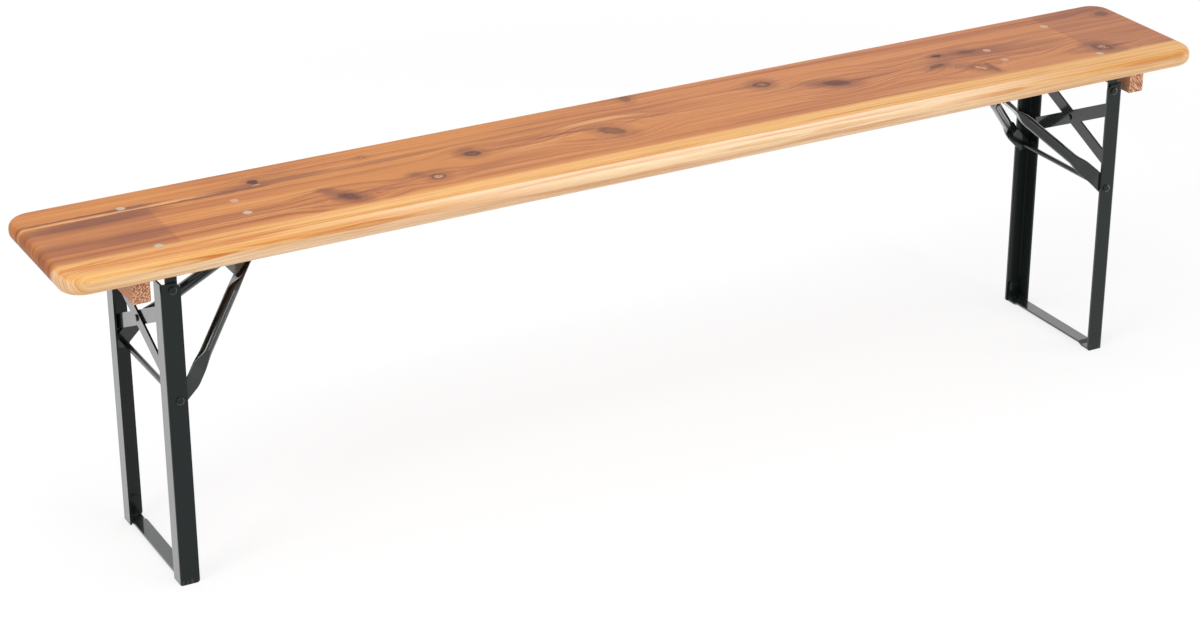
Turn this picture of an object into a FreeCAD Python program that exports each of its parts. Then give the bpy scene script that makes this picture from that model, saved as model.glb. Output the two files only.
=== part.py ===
"""A folding bench: one board on two steel leg frames that fold in under it.

Millimetres. The origin is on the floor below the middle of the board, +X runs along
the board to its right end, +Y to the far side and +Z up. The right half is modelled,
near side first, and the left half is its mirror image.
"""
import FreeCAD, Part
import math
import os
import Sketcher
from FreeCAD import Placement, Rotation, Vector

SIZES = (
    ("board_length", 1800),
    ("board_width", 250),
    ("board_thickness", 26),
    ("seat_height", 480),
    ("corner_radius", 34),
    ("edge_radius", 11),
    ("batten_inset", 91.5),
    ("batten_width", 25),
    ("batten_height", 32),
    ("batten_length", 219),
    ("batten_edge_radius", 3),
    ("screw_spread", 130),
    ("screw_shank", 4),
    ("screw_head", 8),
    ("screw_head_height", 3),
    ("screw_length", 46),
    ("frame_width", 219),
    ("leg_inset", 130),
    ("leg_head_gap", 12.5),
    ("leg_wall", 3),
    ("leg_bend", 3.6),
    ("flange_width", 27),
    ("flange_depth", 26),
    ("leg_chamfer", 6),
    ("toe_radius", 4),
    ("hinge_drop", 22),
    ("hinge_inset", 16),
    ("catch_reach", 158),
    ("rivet_shank", 6),
    ("rivet_head", 11.5),
    ("rivet_head_height", 3.2),
    ("rivet_tail_height", 2),
    ("rivet_round", 2.7),
    ("running_gap", 0.05),
    ("side_gap", 0.3),
    ("strap_width", 29),
    ("strap_wall", 3),
    ("strap_bend", 4),
    ("ear_width", 16),
    ("ear_drop", 10),
    ("ear_shoulder", 2),
    ("ear_round", 7.5),
    ("bolt_shank", 6),
    ("bolt_head", 13),
    ("bolt_head_height", 2.4),
    ("bolt_recess", 0.3),
    ("bolt_gap", 0.2),
    ("bolt_tail", 1.5),
    ("nut_width", 10),
    ("nut_height", 5),
    ("hinge_bolt_spread", 140),
    ("catch_bolt_spread", 46),
    ("catch_bolt_offset", 16),
    ("catch_width", 67),
    ("catch_wall", 3),
    ("catch_front", 9),
    ("catch_back", 30),
    ("catch_nose", 11),
    ("catch_gap", 0.4),
    ("catch_flare", 2),
    ("catch_pin", 8),
    ("catch_pin_length", 78),
    ("catch_pin_bevel", 1),
    ("spring_wall", 1.2),
    ("spring_root_length", 15),
    ("spring_root_width", 58),
    ("spring_tongue_width", 24),
    ("spring_lip_reach", 11),
    ("spring_lip_drop", 2),
    ("spring_bend", 2.5),
    ("foot_width", 20),
    ("foot_wall", 3),
    ("foot_gap", 0.5),
    ("foot_tab", 33),
    ("foot_pad", 18),
    ("foot_ramp", 8),
    ("foot_lift", 3),
    ("foot_bend", 4),
    ("brace_width", 20),
    ("brace_wall", 3),
    ("brace_drop", 80),
    ("brace_rise", 100),
    ("brace_gap", 0.5),
    ("brace_rivet_head", 10),
    ("brace_rivet_height", 2.4),
    ("brace_rivet_round", 1.9),
    ("rod_diameter", 8),
    ("strut_diameter", 16),
    ("strut_wall", 1.5),
    ("strut_flat", 3.2),
    ("strut_flat_width", 23),
    ("strut_head_width", 24),
    ("strut_lower_run", 30),
    ("strut_bend", 24),
    ("strut_lower_flat", 14),
    ("strut_upper_flat", 24),
    ("strut_taper", 26),
    ("strut_end_gap", 28),
    ("strut_end_side", 18),
    ("yoke_wall", 3),
    ("yoke_length", 52),
    ("yoke_base_width", 66),
    ("yoke_tip_width", 44),
    ("yoke_corner", 6),
    ("yoke_tip_gap", 2),
    ("yoke_rivet_head", 10),
    ("yoke_rivet_height", 2),
    ("yoke_rivet_round", 1.6),
)

PLACES = (
    ("board_under", "Size.seat_height - Size.board_thickness"),
    ("batten_out", "Size.board_length / 2 - Size.batten_inset"),
    ("batten_in", "batten_out - Size.batten_width"),
    ("batten_under", "board_under - Size.batten_height"),
    ("screw_x", "(batten_out + batten_in) / 2"),
    ("screw_y", "Size.screw_spread / 2"),
    ("leg_x", "Size.board_length / 2 - Size.leg_inset"),
    ("leg_y", "Size.frame_width / 2"),
    ("flange_x", "leg_x - Size.leg_wall"),
    ("flange_y", "leg_y - Size.leg_wall"),
    ("inboard_x", "leg_x - Size.flange_width"),
    ("leg_top", "board_under - Size.leg_head_gap"),
    ("hinge_x", "leg_x - Size.hinge_inset"),
    ("hinge_z", "board_under - Size.hinge_drop"),
    ("catch_x", "hinge_x - Size.catch_reach"),
    ("strut_z", "hinge_z - Size.catch_reach"),
    ("strut_reach", "Size.catch_reach * sqrt(2)"),
    ("strap_under", "board_under - Size.strap_wall"),
    ("ear_y", "flange_y - Size.side_gap"),
    ("ear_inner_y", "ear_y - Size.strap_wall"),
    ("ear_under", "hinge_z - Size.ear_drop"),
    ("hinge_bolt_y", "Size.hinge_bolt_spread / 2"),
    ("catch_bolt_x", "catch_x + Size.catch_bolt_offset"),
    ("catch_bolt_y", "Size.catch_bolt_spread / 2"),
    ("catch_under", "board_under - Size.catch_wall"),
    ("spring_under", "catch_under - Size.spring_wall"),
    ("cheek_y", "Size.catch_width / 2"),
    ("cheek_inner_y", "cheek_y - Size.catch_wall"),
    ("bolt_hole", "Size.bolt_shank + 2 * Size.bolt_gap"),
    ("pin_seat", "Size.catch_pin / 2 + Size.catch_gap"),
    ("foot_out", "flange_x - Size.foot_gap"),
    ("brace_y", "flange_y - Size.brace_gap"),
    ("brace_z", "hinge_z - Size.brace_drop"),
    ("brace_slope", "Size.brace_rise / 2 / flange_y"),
    ("brace_half", "Size.brace_width / 2 * sqrt(1 + brace_slope * brace_slope)"),
    ("strut_y", "ear_y - Size.strut_flat / 2"),
    ("rod_shoulder_y", "ear_y - Size.strut_flat - Size.side_gap"),
)

STRUT_TURN = -135.0
TAPER_STEPS = 5
ROUND_FLAT = 0.4

doc = FreeCAD.newDocument("FoldingBench")
sheet = doc.addObject("Spreadsheet::Sheet", "Size")
for row, (name, value) in enumerate(SIZES, start=1):
    sheet.set(f"A{row}", name)
    sheet.set(f"B{row}", str(value))
    sheet.setAlias(f"B{row}", name)
doc.recompute()
places = doc.addObject("App::VarSet", "At")
for name, formula in PLACES:
    places.addProperty("App::PropertyFloat", name)
    places.setExpression(name, formula)
doc.recompute()

nodes = []


def size(name):
    """A driving size as a number, for shapes that are worked out here."""
    return float(sheet.get(name))


def at(name):
    """A worked-out place as a number."""
    return getattr(places, name)


def new_body(label):
    """A new sub-part made of sketches and features."""
    body = doc.addObject("PartDesign::Body", label)
    body.Label = label
    return body


def new_sketch(body, plane, offset="0"):
    """A sketch on one of the body's origin planes, moved along the plane's normal."""
    sketch = body.newObject("Sketcher::SketchObject", body.Label + "_sketch")
    support = next(item for item in body.Origin.OriginFeatures if item.Role == plane)
    sketch.AttachmentSupport = (support, [""])
    sketch.MapMode = "FlatFace"
    sketch.setExpression("AttachmentOffset.Base.z", offset)
    return sketch


def pin_down(sketch, geometry, point, across, along):
    """Ties one point of a sketch to two distances from the sketch's origin."""
    for kind, formula in (("DistanceX", across), ("DistanceY", along)):
        index = sketch.addConstraint(Sketcher.Constraint(kind, -1, 1, geometry, point, 1.0))
        sketch.setExpression(f"Constraints[{index}]", formula)


def draw_outline(sketch, corners):
    """A closed outline through corners, each a pair of formulas."""
    count = len(corners)
    first = sketch.GeometryCount
    turns = [2 * math.pi * index / count for index in range(count + 1)]
    start = [Vector(math.cos(turn), math.sin(turn), 0) for turn in turns]
    sketch.addGeometry([Part.LineSegment(a, b) for a, b in zip(start, start[1:])], False)
    for index, (across, along) in enumerate(corners):
        line = first + index
        following = first + (index + 1) % count
        sketch.addConstraint(Sketcher.Constraint("Coincident", line, 2, following, 1))
        pin_down(sketch, line, 1, across, along)


def draw_box(sketch, left, right, bottom, top):
    """A rectangle between four formulas."""
    draw_outline(sketch, [(left, bottom), (right, bottom), (right, top), (left, top)])


def draw_circle(sketch, across, along, diameter):
    """A circle whose centre and diameter are formulas."""
    circle = sketch.addGeometry(Part.Circle(Vector(0, 0, 0), Vector(0, 0, 1), 1), False)
    pin_down(sketch, circle, 3, across, along)
    index = sketch.addConstraint(Sketcher.Constraint("Diameter", circle, 2.0))
    sketch.setExpression(f"Constraints[{index}]", diameter)


def pad(body, sketch, length, symmetric=False):
    """Adds the sketch's outline, grown along its normal or to both sides."""
    feature = body.newObject("PartDesign::Pad", body.Label + "_pad")
    feature.Profile = sketch
    feature.setExpression("Length", length)
    feature.SideType = "Symmetric" if symmetric else "One side"
    doc.recompute()
    return feature


def cut_through(body, sketch):
    """Cuts the sketch's outline through the whole sub-part, both ways."""
    cut(body, sketch, None)


def cut(body, sketch, depth, reverse=False):
    """Cuts the sketch's outline to a depth, or all the way both ways without one."""
    before = body.Shape.Volume
    feature = body.newObject("PartDesign::Pocket", body.Label + "_cut")
    feature.Profile = sketch
    feature.Reversed = reverse
    if depth is None:
        feature.Type = "ThroughAll"
        feature.SideType = "Symmetric"
    else:
        feature.setExpression("Length", depth)
    doc.recompute()
    if body.Shape.Volume >= before:
        raise RuntimeError(f"{feature.Name} cuts nothing")


def revolve(body, sketch, axis):
    """Turns the sketch's outline about one of the sketch's own axes."""
    feature = body.newObject("PartDesign::Revolution", body.Label + "_turn")
    feature.Profile = sketch
    feature.ReferenceAxis = (sketch, [axis])
    feature.Angle = 360
    doc.recompute()
    return feature


def middle(edge):
    """The centre of an edge's bounding box."""
    return edge.BoundBox.Center


def runs_along(edge, axis):
    """True for a straight edge that runs along the axis."""
    if not isinstance(edge.Curve, Part.Line):
        return False
    return abs(edge.Curve.Direction.dot(axis)) > 0.999


def near(value, target):
    """True where two places agree."""
    return abs(value - target) < 0.05


def dress(body, kind, amount, wanted):
    """Rounds (Fillet) or bevels (Chamfer) the edges that the test picks."""
    base = body.Tip
    edges = [f"Edge{index}" for index, edge in enumerate(base.Shape.Edges, 1) if wanted(edge)]
    if not edges:
        raise RuntimeError(f"{body.Label} has no such edge")
    feature = body.newObject("PartDesign::" + kind, f"{body.Label}_{kind}")
    feature.Base = (base, edges)
    feature.setExpression("Radius" if kind == "Fillet" else "Size", amount)
    doc.recompute()


def across_middle(label, source):
    """The near piece and its mirror image beyond the middle, as one group of solids."""
    twin = doc.addObject("Part::Mirroring", label + "_twin")
    twin.Source = source
    twin.Normal = Vector(0, 1, 0)
    group = doc.addObject("Part::Compound", label)
    group.Label = label
    group.Links = [source, twin]
    doc.recompute()
    return group


def mirrored(label, source, normal):
    """The mirror image of a sub-part as a sub-part of its own."""
    image = doc.addObject("Part::Mirroring", label)
    image.Label = label
    image.Source = source
    image.Normal = normal
    doc.recompute()
    return image


def add_both_ends(name, source):
    """Lists a sub-part of the right end and its mirror image at the left end."""
    source.Label = "right_" + name
    nodes.append(source)
    nodes.append(mirrored("left_" + name, source, Vector(1, 0, 0)))


X_AXIS = Vector(1, 0, 0)
Y_AXIS = Vector(0, 1, 0)
Z_AXIS = Vector(0, 0, 1)


# Board and battens

def make_board():
    """The seat board with sunk bolt heads on top and screw holes below."""
    body = new_body("seat_board")
    sketch = new_sketch(body, "XY_Plane", "At.board_under")
    draw_box(sketch, "-Size.board_length / 2", "Size.board_length / 2",
             "-Size.board_width / 2", "Size.board_width / 2")
    pad(body, sketch, "Size.board_thickness")
    dress(body, "Fillet", "Size.corner_radius", lambda edge: runs_along(edge, Z_AXIS))
    faces = (at("board_under"), size("seat_height"))
    dress(body, "Fillet", "Size.edge_radius",
          lambda edge: any(near(middle(edge).z, face) for face in faces))
    bolts = [(f"{end} * {x}", f"{hand} * {y}")
             for end in (-1, 1) for hand in (-1, 1)
             for x, y in (("At.hinge_x", "At.hinge_bolt_y"), ("At.catch_bolt_x", "At.catch_bolt_y"))]
    holes = new_sketch(body, "XY_Plane", "Size.seat_height")
    for x, y in bolts:
        draw_circle(holes, x, y, "At.bolt_hole")
    cut_through(body, holes)
    seats = new_sketch(body, "XY_Plane", "Size.seat_height")
    for x, y in bolts:
        draw_circle(seats, x, y, "Size.bolt_head")
    cut(body, seats, "Size.bolt_head_height + Size.bolt_recess")
    screws = new_sketch(body, "XY_Plane", "At.board_under")
    for end in (-1, 1):
        for hand in (-1, 1):
            draw_circle(screws, f"{end} * At.screw_x", f"{hand} * At.screw_y", "Size.screw_shank")
    cut(body, screws, "Size.screw_length - Size.batten_height", reverse=True)
    return body


def make_batten():
    """The sawn cross batten under the board, outside the leg frame."""
    body = new_body("batten")
    sketch = new_sketch(body, "XZ_Plane")
    draw_box(sketch, "At.batten_in", "At.batten_out", "At.batten_under", "At.board_under")
    pad(body, sketch, "Size.batten_length", symmetric=True)
    dress(body, "Fillet", "Size.batten_edge_radius",
          lambda edge: near(middle(edge).z, at("batten_under")))
    holes = new_sketch(body, "XY_Plane", "At.batten_under")
    heads = new_sketch(body, "XY_Plane", "At.batten_under")
    for hand in (-1, 1):
        draw_circle(holes, "At.screw_x", f"{hand} * At.screw_y", "Size.screw_shank")
        draw_circle(heads, "At.screw_x", f"{hand} * At.screw_y", "Size.screw_head")
    cut_through(body, holes)
    cut(body, heads, "Size.screw_head_height", reverse=True)
    return body


def make_batten_screws():
    """Two wood screws from below, through the batten into the board."""
    body = new_body("batten_screw")
    sketch = new_sketch(body, "XZ_Plane")
    draw_outline(sketch, [("0", "0"), ("Size.screw_head / 2", "0"),
                          ("Size.screw_head / 2", "Size.screw_head_height"),
                          ("Size.screw_shank / 2", "Size.screw_head_height"),
                          ("Size.screw_shank / 2", "Size.screw_length - Size.screw_shank"),
                          ("0", "Size.screw_length")])
    revolve(body, sketch, "V_Axis")
    body.setExpression("Placement.Base.x", "At.screw_x")
    body.setExpression("Placement.Base.y", "-At.screw_y")
    body.setExpression("Placement.Base.z", "At.batten_under")
    return across_middle("batten_screws", body)


# Leg frame

def make_leg():
    """One angle iron: one flange along the side, the other across the end."""
    body = new_body("near_leg")
    sketch = new_sketch(body, "XY_Plane")
    draw_outline(sketch, [("At.leg_x", "-At.leg_y"),
                          ("At.leg_x", "Size.flange_depth - At.leg_y"),
                          ("At.flange_x", "Size.flange_depth - At.leg_y"),
                          ("At.flange_x", "-At.flange_y"),
                          ("At.inboard_x", "-At.flange_y"),
                          ("At.inboard_x", "-At.leg_y")])
    pad(body, sketch, "At.leg_top")
    dress(body, "Fillet", "Size.leg_bend",
          lambda edge: runs_along(edge, Z_AXIS) and near(middle(edge).x, at("leg_x"))
          and near(middle(edge).y, -at("leg_y")))
    dress(body, "Fillet", "Size.leg_bend - Size.leg_wall",
          lambda edge: runs_along(edge, Z_AXIS) and near(middle(edge).x, at("flange_x"))
          and near(middle(edge).y, -at("flange_y")))
    dress(body, "Chamfer", "Size.leg_chamfer",
          lambda edge: runs_along(edge, Y_AXIS) and near(middle(edge).x, at("inboard_x"))
          and near(middle(edge).z, at("leg_top")))
    dress(body, "Fillet", "Size.toe_radius",
          lambda edge: runs_along(edge, Y_AXIS) and near(middle(edge).x, at("inboard_x"))
          and near(middle(edge).z, 0))
    holes = new_sketch(body, "XZ_Plane")
    draw_circle(holes, "At.hinge_x", "At.hinge_z", "Size.rivet_shank")
    draw_circle(holes, "At.hinge_x", "At.strut_z", "Size.rivet_shank")
    cut_through(body, holes)
    return body


def make_foot_bar():
    """The flat bar on the floor, its ends turned up against the legs, its middle raised."""
    body = new_body("foot_bar")
    sketch = new_sketch(body, "YZ_Plane", "At.foot_out - Size.foot_width / 2")
    lower = [("At.flange_y", "Size.foot_tab"),
             ("At.flange_y", "0"),
             ("At.flange_y - Size.foot_pad", "0"),
             ("At.flange_y - Size.foot_pad - Size.foot_ramp", "Size.foot_lift")]
    upper = [("At.flange_y - Size.foot_pad - Size.foot_ramp", "Size.foot_lift + Size.foot_wall"),
             ("At.flange_y - Size.foot_pad", "Size.foot_wall"),
             ("At.flange_y - Size.foot_wall", "Size.foot_wall"),
             ("At.flange_y - Size.foot_wall", "Size.foot_tab")]
    near_lower = [(f"-({across})", along) for across, along in reversed(lower)]
    near_upper = [(f"-({across})", along) for across, along in reversed(upper)]
    draw_outline(sketch, lower + near_lower + near_upper + upper)
    pad(body, sketch, "Size.foot_width", symmetric=True)
    dress(body, "Fillet", "Size.foot_bend",
          lambda edge: runs_along(edge, X_AXIS) and near(middle(edge).z, 0)
          and near(abs(middle(edge).y), at("flange_y")))
    dress(body, "Fillet", "Size.foot_bend - Size.foot_wall",
          lambda edge: runs_along(edge, X_AXIS) and near(middle(edge).z, size("foot_wall"))
          and near(abs(middle(edge).y), at("flange_y") - size("foot_wall")))
    dress(body, "Fillet", "Size.foot_bend",
          lambda edge: runs_along(edge, Y_AXIS) and near(middle(edge).z, size("foot_tab")))
    return body


def make_brace(label, outer_face, end, hand):
    """One flat bar of the cross; hand is 1 where its far end is the high one."""
    body = new_body(label)
    sketch = new_sketch(body, "YZ_Plane", outer_face)
    rise = f"{hand} * At.brace_slope * {end}"
    draw_outline(sketch, [(end, f"At.brace_z + {rise} - At.brace_half"),
                          (end, f"At.brace_z + {rise} + At.brace_half"),
                          (f"-{end}", f"At.brace_z - {rise} + At.brace_half"),
                          (f"-{end}", f"At.brace_z - {rise} - At.brace_half")])
    pad(body, sketch, "Size.brace_wall")
    hole = new_sketch(body, "YZ_Plane", outer_face)
    draw_circle(hole, "0", "At.brace_z", "Size.rivet_shank")
    cut_through(body, hole)
    return body


def make_brace_rivet():
    """The rivet where the two brace bars cross."""
    body = new_body("brace_rivet")
    sketch = new_sketch(body, "XY_Plane")
    grip = "2 * Size.brace_wall"
    draw_outline(sketch, [("-Size.brace_rivet_height", "0"),
                          ("-Size.brace_rivet_height", "Size.brace_rivet_head / 2"),
                          ("0", "Size.brace_rivet_head / 2"),
                          ("0", "Size.rivet_shank / 2"),
                          (grip, "Size.rivet_shank / 2"),
                          (grip, "Size.brace_rivet_head / 2"),
                          (grip + " + Size.brace_rivet_height", "Size.brace_rivet_head / 2"),
                          (grip + " + Size.brace_rivet_height", "0")])
    revolve(body, sketch, "H_Axis")
    ends = (-size("brace_rivet_height"), 2 * size("brace_wall") + size("brace_rivet_height"))
    dress(body, "Fillet", "Size.brace_rivet_round",
          lambda edge: any(near(middle(edge).x, end) for end in ends))
    body.setExpression("Placement.Base.x", "At.flange_x - 2 * Size.brace_wall")
    body.setExpression("Placement.Base.z", "At.brace_z")
    return body


def make_hinge_rivets():
    """The rivets that the leg frame turns on, one through each ear of the bracket."""
    body = new_body("hinge_rivet")
    sketch = new_sketch(body, "XY_Plane")
    tail = "At.leg_y - At.ear_inner_y + Size.side_gap"
    draw_outline(sketch, [("0", "-Size.rivet_head_height"),
                          ("Size.rivet_head / 2", "-Size.rivet_head_height"),
                          ("Size.rivet_head / 2", "0"),
                          ("Size.rivet_shank / 2", "0"),
                          ("Size.rivet_shank / 2", tail),
                          ("Size.rivet_head / 2", tail),
                          ("Size.rivet_head / 2", tail + " + Size.rivet_tail_height"),
                          ("0", tail + " + Size.rivet_tail_height")])
    revolve(body, sketch, "V_Axis")
    dress(body, "Fillet", "Size.rivet_round",
          lambda edge: near(middle(edge).y, -size("rivet_head_height")))
    body.setExpression("Placement.Base.x", "At.hinge_x")
    body.setExpression("Placement.Base.y", "-At.leg_y")
    body.setExpression("Placement.Base.z", "At.hinge_z")
    return across_middle("hinge_rivets", body)


def make_cross_rod():
    """The rod between the legs that the struts turn on, headed outside each leg."""
    body = new_body("cross_rod")
    sketch = new_sketch(body, "XY_Plane")
    half = [("Size.rod_diameter / 2", "At.rod_shoulder_y"),
            ("Size.rivet_shank / 2", "At.rod_shoulder_y"),
            ("Size.rivet_shank / 2", "At.leg_y"),
            ("Size.rivet_head / 2", "At.leg_y"),
            ("Size.rivet_head / 2", "At.leg_y + Size.rivet_head_height"),
            ("0", "At.leg_y + Size.rivet_head_height")]
    draw_outline(sketch, [(across, f"-({along})") for across, along in reversed(half)] + half)
    revolve(body, sketch, "V_Axis")
    tip = at("leg_y") + size("rivet_head_height")
    dress(body, "Fillet", "Size.rivet_round",
          lambda edge: near(abs(middle(edge).y), tip) and edge.Length > size("rivet_head"))
    body.setExpression("Placement.Base.x", "At.hinge_x")
    body.setExpression("Placement.Base.z", "At.strut_z")
    return body


# Brackets, bolts and nuts under the board

def make_strap(label, middle_x, length, half_width, inner_half, wall_under, drop):
    """A strap under the board with both ends bent down, as a plain bent blank."""
    body = new_body(label)
    sketch = new_sketch(body, "YZ_Plane", middle_x)
    draw_outline(sketch, [(f"-{half_width}", "At.board_under"), (half_width, "At.board_under"),
                          (half_width, drop), (inner_half, drop),
                          (inner_half, wall_under), (f"-{inner_half}", wall_under),
                          (f"-{inner_half}", drop), (f"-{half_width}", drop)])
    pad(body, sketch, length, symmetric=True)
    return body


def drill_bolt_holes(body, x, y):
    """Two holes through the strap for its bolts."""
    holes = new_sketch(body, "XY_Plane", "At.board_under")
    for hand in (-1, 1):
        draw_circle(holes, x, f"{hand} * {y}", "At.bolt_hole")
    cut(body, holes, "At.board_under - At.spring_under + Size.strap_wall")


def round_bends(body, outside):
    """Rounds the outside of the strap's two bends."""
    dress(body, "Fillet", "Size.strap_bend",
          lambda edge: runs_along(edge, X_AXIS) and near(abs(middle(edge).y), outside)
          and near(middle(edge).z, at("board_under")))


def make_hinge_bracket():
    """The strap whose two ears carry the leg frame inside its side flanges."""
    body = make_strap("hinge_bracket", "At.hinge_x", "Size.strap_width", "At.ear_y",
                      "At.ear_inner_y", "At.strap_under", "At.ear_under")
    drill_bolt_holes(body, "At.hinge_x", "At.hinge_bolt_y")
    sides = new_sketch(body, "XZ_Plane")
    for hand in (-1, 1):
        draw_box(sides, f"At.hinge_x + {hand} * Size.ear_width / 2",
                 f"At.hinge_x + {hand} * Size.strap_width",
                 "At.ear_under", "At.strap_under - Size.ear_shoulder")
    cut_through(body, sides)
    pins = new_sketch(body, "XZ_Plane")
    draw_circle(pins, "At.hinge_x", "At.hinge_z",
                "Size.rivet_shank + 2 * Size.running_gap")
    cut_through(body, pins)
    round_bends(body, at("ear_y"))
    dress(body, "Fillet", "Size.ear_round",
          lambda edge: runs_along(edge, Y_AXIS) and near(middle(edge).z, at("ear_under")))
    return body


def make_catch_bracket():
    """The strap whose two cheeks hold the catch pin above and outboard of it."""
    body = make_strap("catch_bracket", "At.catch_x + (Size.catch_back - Size.catch_front) / 2",
                      "Size.catch_back + Size.catch_front", "At.cheek_y", "At.cheek_inner_y",
                      "At.catch_under", "At.hinge_z - Size.catch_nose")
    drill_bolt_holes(body, "At.catch_bolt_x", "At.catch_bolt_y")
    mouth = new_sketch(body, "XZ_Plane")
    front = "At.catch_x - Size.catch_front"
    below = "At.hinge_z - Size.catch_nose"
    draw_outline(mouth, [(front, below), ("At.catch_x + At.pin_seat + Size.catch_flare", below),
                         ("At.catch_x + At.pin_seat", "At.hinge_z"),
                         ("At.catch_x + At.pin_seat", "At.hinge_z + At.pin_seat"),
                         (front, "At.hinge_z + At.pin_seat")])
    back = "At.catch_x + Size.catch_back"
    nose = "At.catch_x + At.pin_seat + Size.catch_flare + Size.catch_nose"
    draw_outline(mouth, [(nose, below), (back, below), (back, "At.hinge_z + At.pin_seat")])
    cut_through(body, mouth)
    round_bends(body, at("cheek_y"))
    dress(body, "Fillet", "Size.catch_pin / 2",
          lambda edge: runs_along(edge, Y_AXIS)
          and near(middle(edge).x, at("catch_x") + at("pin_seat"))
          and near(middle(edge).z, at("hinge_z") + at("pin_seat")))
    return body


def make_catch_spring():
    """The leaf that snaps past the catch pin, clamped under the catch bracket."""
    body = new_body("catch_spring")
    root = new_sketch(body, "XZ_Plane")
    left = "At.catch_bolt_x - Size.spring_root_length / 2"
    right = "At.catch_bolt_x + Size.spring_root_length / 2"
    draw_box(root, left, right, "At.spring_under", "At.catch_under")
    pad(body, root, "Size.spring_root_width", symmetric=True)
    tongue = new_sketch(body, "XZ_Plane")
    lip = "At.catch_x - Size.spring_lip_reach"
    foot = "At.hinge_z + Size.spring_lip_drop"
    draw_outline(tongue, [(right, "At.catch_under"), (right, "At.spring_under"),
                          (lip, "At.spring_under"), (lip, foot),
                          (lip + " - Size.spring_wall", foot),
                          (lip + " - Size.spring_wall", "At.catch_under")])
    pad(body, tongue, "Size.spring_tongue_width", symmetric=True)
    lip_x = at("catch_x") - size("spring_lip_reach")
    dress(body, "Fillet", "Size.spring_bend",
          lambda edge: runs_along(edge, Y_AXIS) and near(middle(edge).z, at("catch_under"))
          and near(middle(edge).x, lip_x - size("spring_wall")))
    dress(body, "Fillet", "Size.spring_bend - Size.spring_wall",
          lambda edge: runs_along(edge, Y_AXIS) and near(middle(edge).z, at("spring_under"))
          and near(middle(edge).x, lip_x))
    drill_bolt_holes(body, "At.catch_bolt_x", "At.catch_bolt_y")
    return body


def make_bolts(label, x, y, stack):
    """Two bolts, their flat heads sunk in the board, their tails through the nuts."""
    body = new_body(label[:-1])
    sketch = new_sketch(body, "XZ_Plane")
    shank = f"-(Size.board_thickness - Size.bolt_recess + {stack} + Size.nut_height + Size.bolt_tail)"
    draw_outline(sketch, [("0", "0"), ("Size.bolt_head / 2", "0"),
                          ("Size.bolt_head / 2", "-Size.bolt_head_height"),
                          ("Size.bolt_shank / 2", "-Size.bolt_head_height"),
                          ("Size.bolt_shank / 2", shank), ("0", shank)])
    revolve(body, sketch, "V_Axis")
    body.setExpression("Placement.Base.x", x)
    body.setExpression("Placement.Base.y", f"-{y}")
    body.setExpression("Placement.Base.z", "Size.seat_height - Size.bolt_recess")
    return across_middle(label, body)


def make_nuts(label, x, y, stack):
    """Two hexagon nuts below the strap."""
    prism = doc.addObject("Part::Prism", label + "_hexagon")
    prism.Polygon = 6
    prism.setExpression("Circumradius", "Size.nut_width / sqrt(3)")
    prism.setExpression("Height", "Size.nut_height")
    bore = doc.addObject("Part::Cylinder", label + "_bore")
    bore.setExpression("Radius", "Size.bolt_shank / 2")
    bore.setExpression("Height", "Size.nut_height")
    nut = doc.addObject("Part::Cut", label[:-1])
    nut.Base = prism
    nut.Tool = bore
    nut.setExpression("Placement.Base.x", x)
    nut.setExpression("Placement.Base.y", f"-{y}")
    nut.setExpression("Placement.Base.z", f"At.board_under - {stack} - Size.nut_height")
    return across_middle(label, nut)


# Struts and catch pin, in a frame whose x runs from the cross rod up to the catch

def lean(item):
    """Sets a sub-part made in the strut's frame into the bench."""
    item.Placement = Placement(Vector(0, 0, 0), Rotation(Y_AXIS, STRUT_TURN))
    item.setExpression("Placement.Base.x", "At.hinge_x")
    item.setExpression("Placement.Base.z", "At.strut_z")


def tube_section(centre, heading, wide, width, thickness):
    """A flattened ring across the heading: two flats joined by two half rounds."""
    thin = heading.cross(wide)
    flat = wide * ((width - thickness) / 2)
    side = thin * (thickness / 2)
    tip = wide * (width / 2)
    return Part.Wire([
        Part.makeLine(centre - flat + side, centre + flat + side),
        Part.Arc(centre + flat + side, centre + tip, centre + flat - side).toShape(),
        Part.makeLine(centre + flat - side, centre - flat - side),
        Part.Arc(centre - flat - side, centre - tip, centre - flat + side).toShape()])


def tube_taper(start, heading, wide, width):
    """The stretch over which a flattened end grows into the round tube."""
    rings = []
    for step in range(TAPER_STEPS + 1):
        share = step / TAPER_STEPS
        ease = share * share * (3 - 2 * share)
        round_width = size("strut_diameter") + ROUND_FLAT
        across = width + (round_width - width) * ease
        through = size("strut_flat") + (size("strut_diameter") - size("strut_flat")) * ease
        centre = start + heading * (size("strut_taper") * share)
        rings.append(tube_section(centre, heading, wide, across, through))
    return Part.makeLoft(rings, True, False)


def tube_run(start, heading, wide, width, thickness, length):
    """A straight stretch of one section."""
    face = Part.Face(tube_section(start, heading, wide, width, thickness))
    return face.extrude(heading * length)


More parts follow.
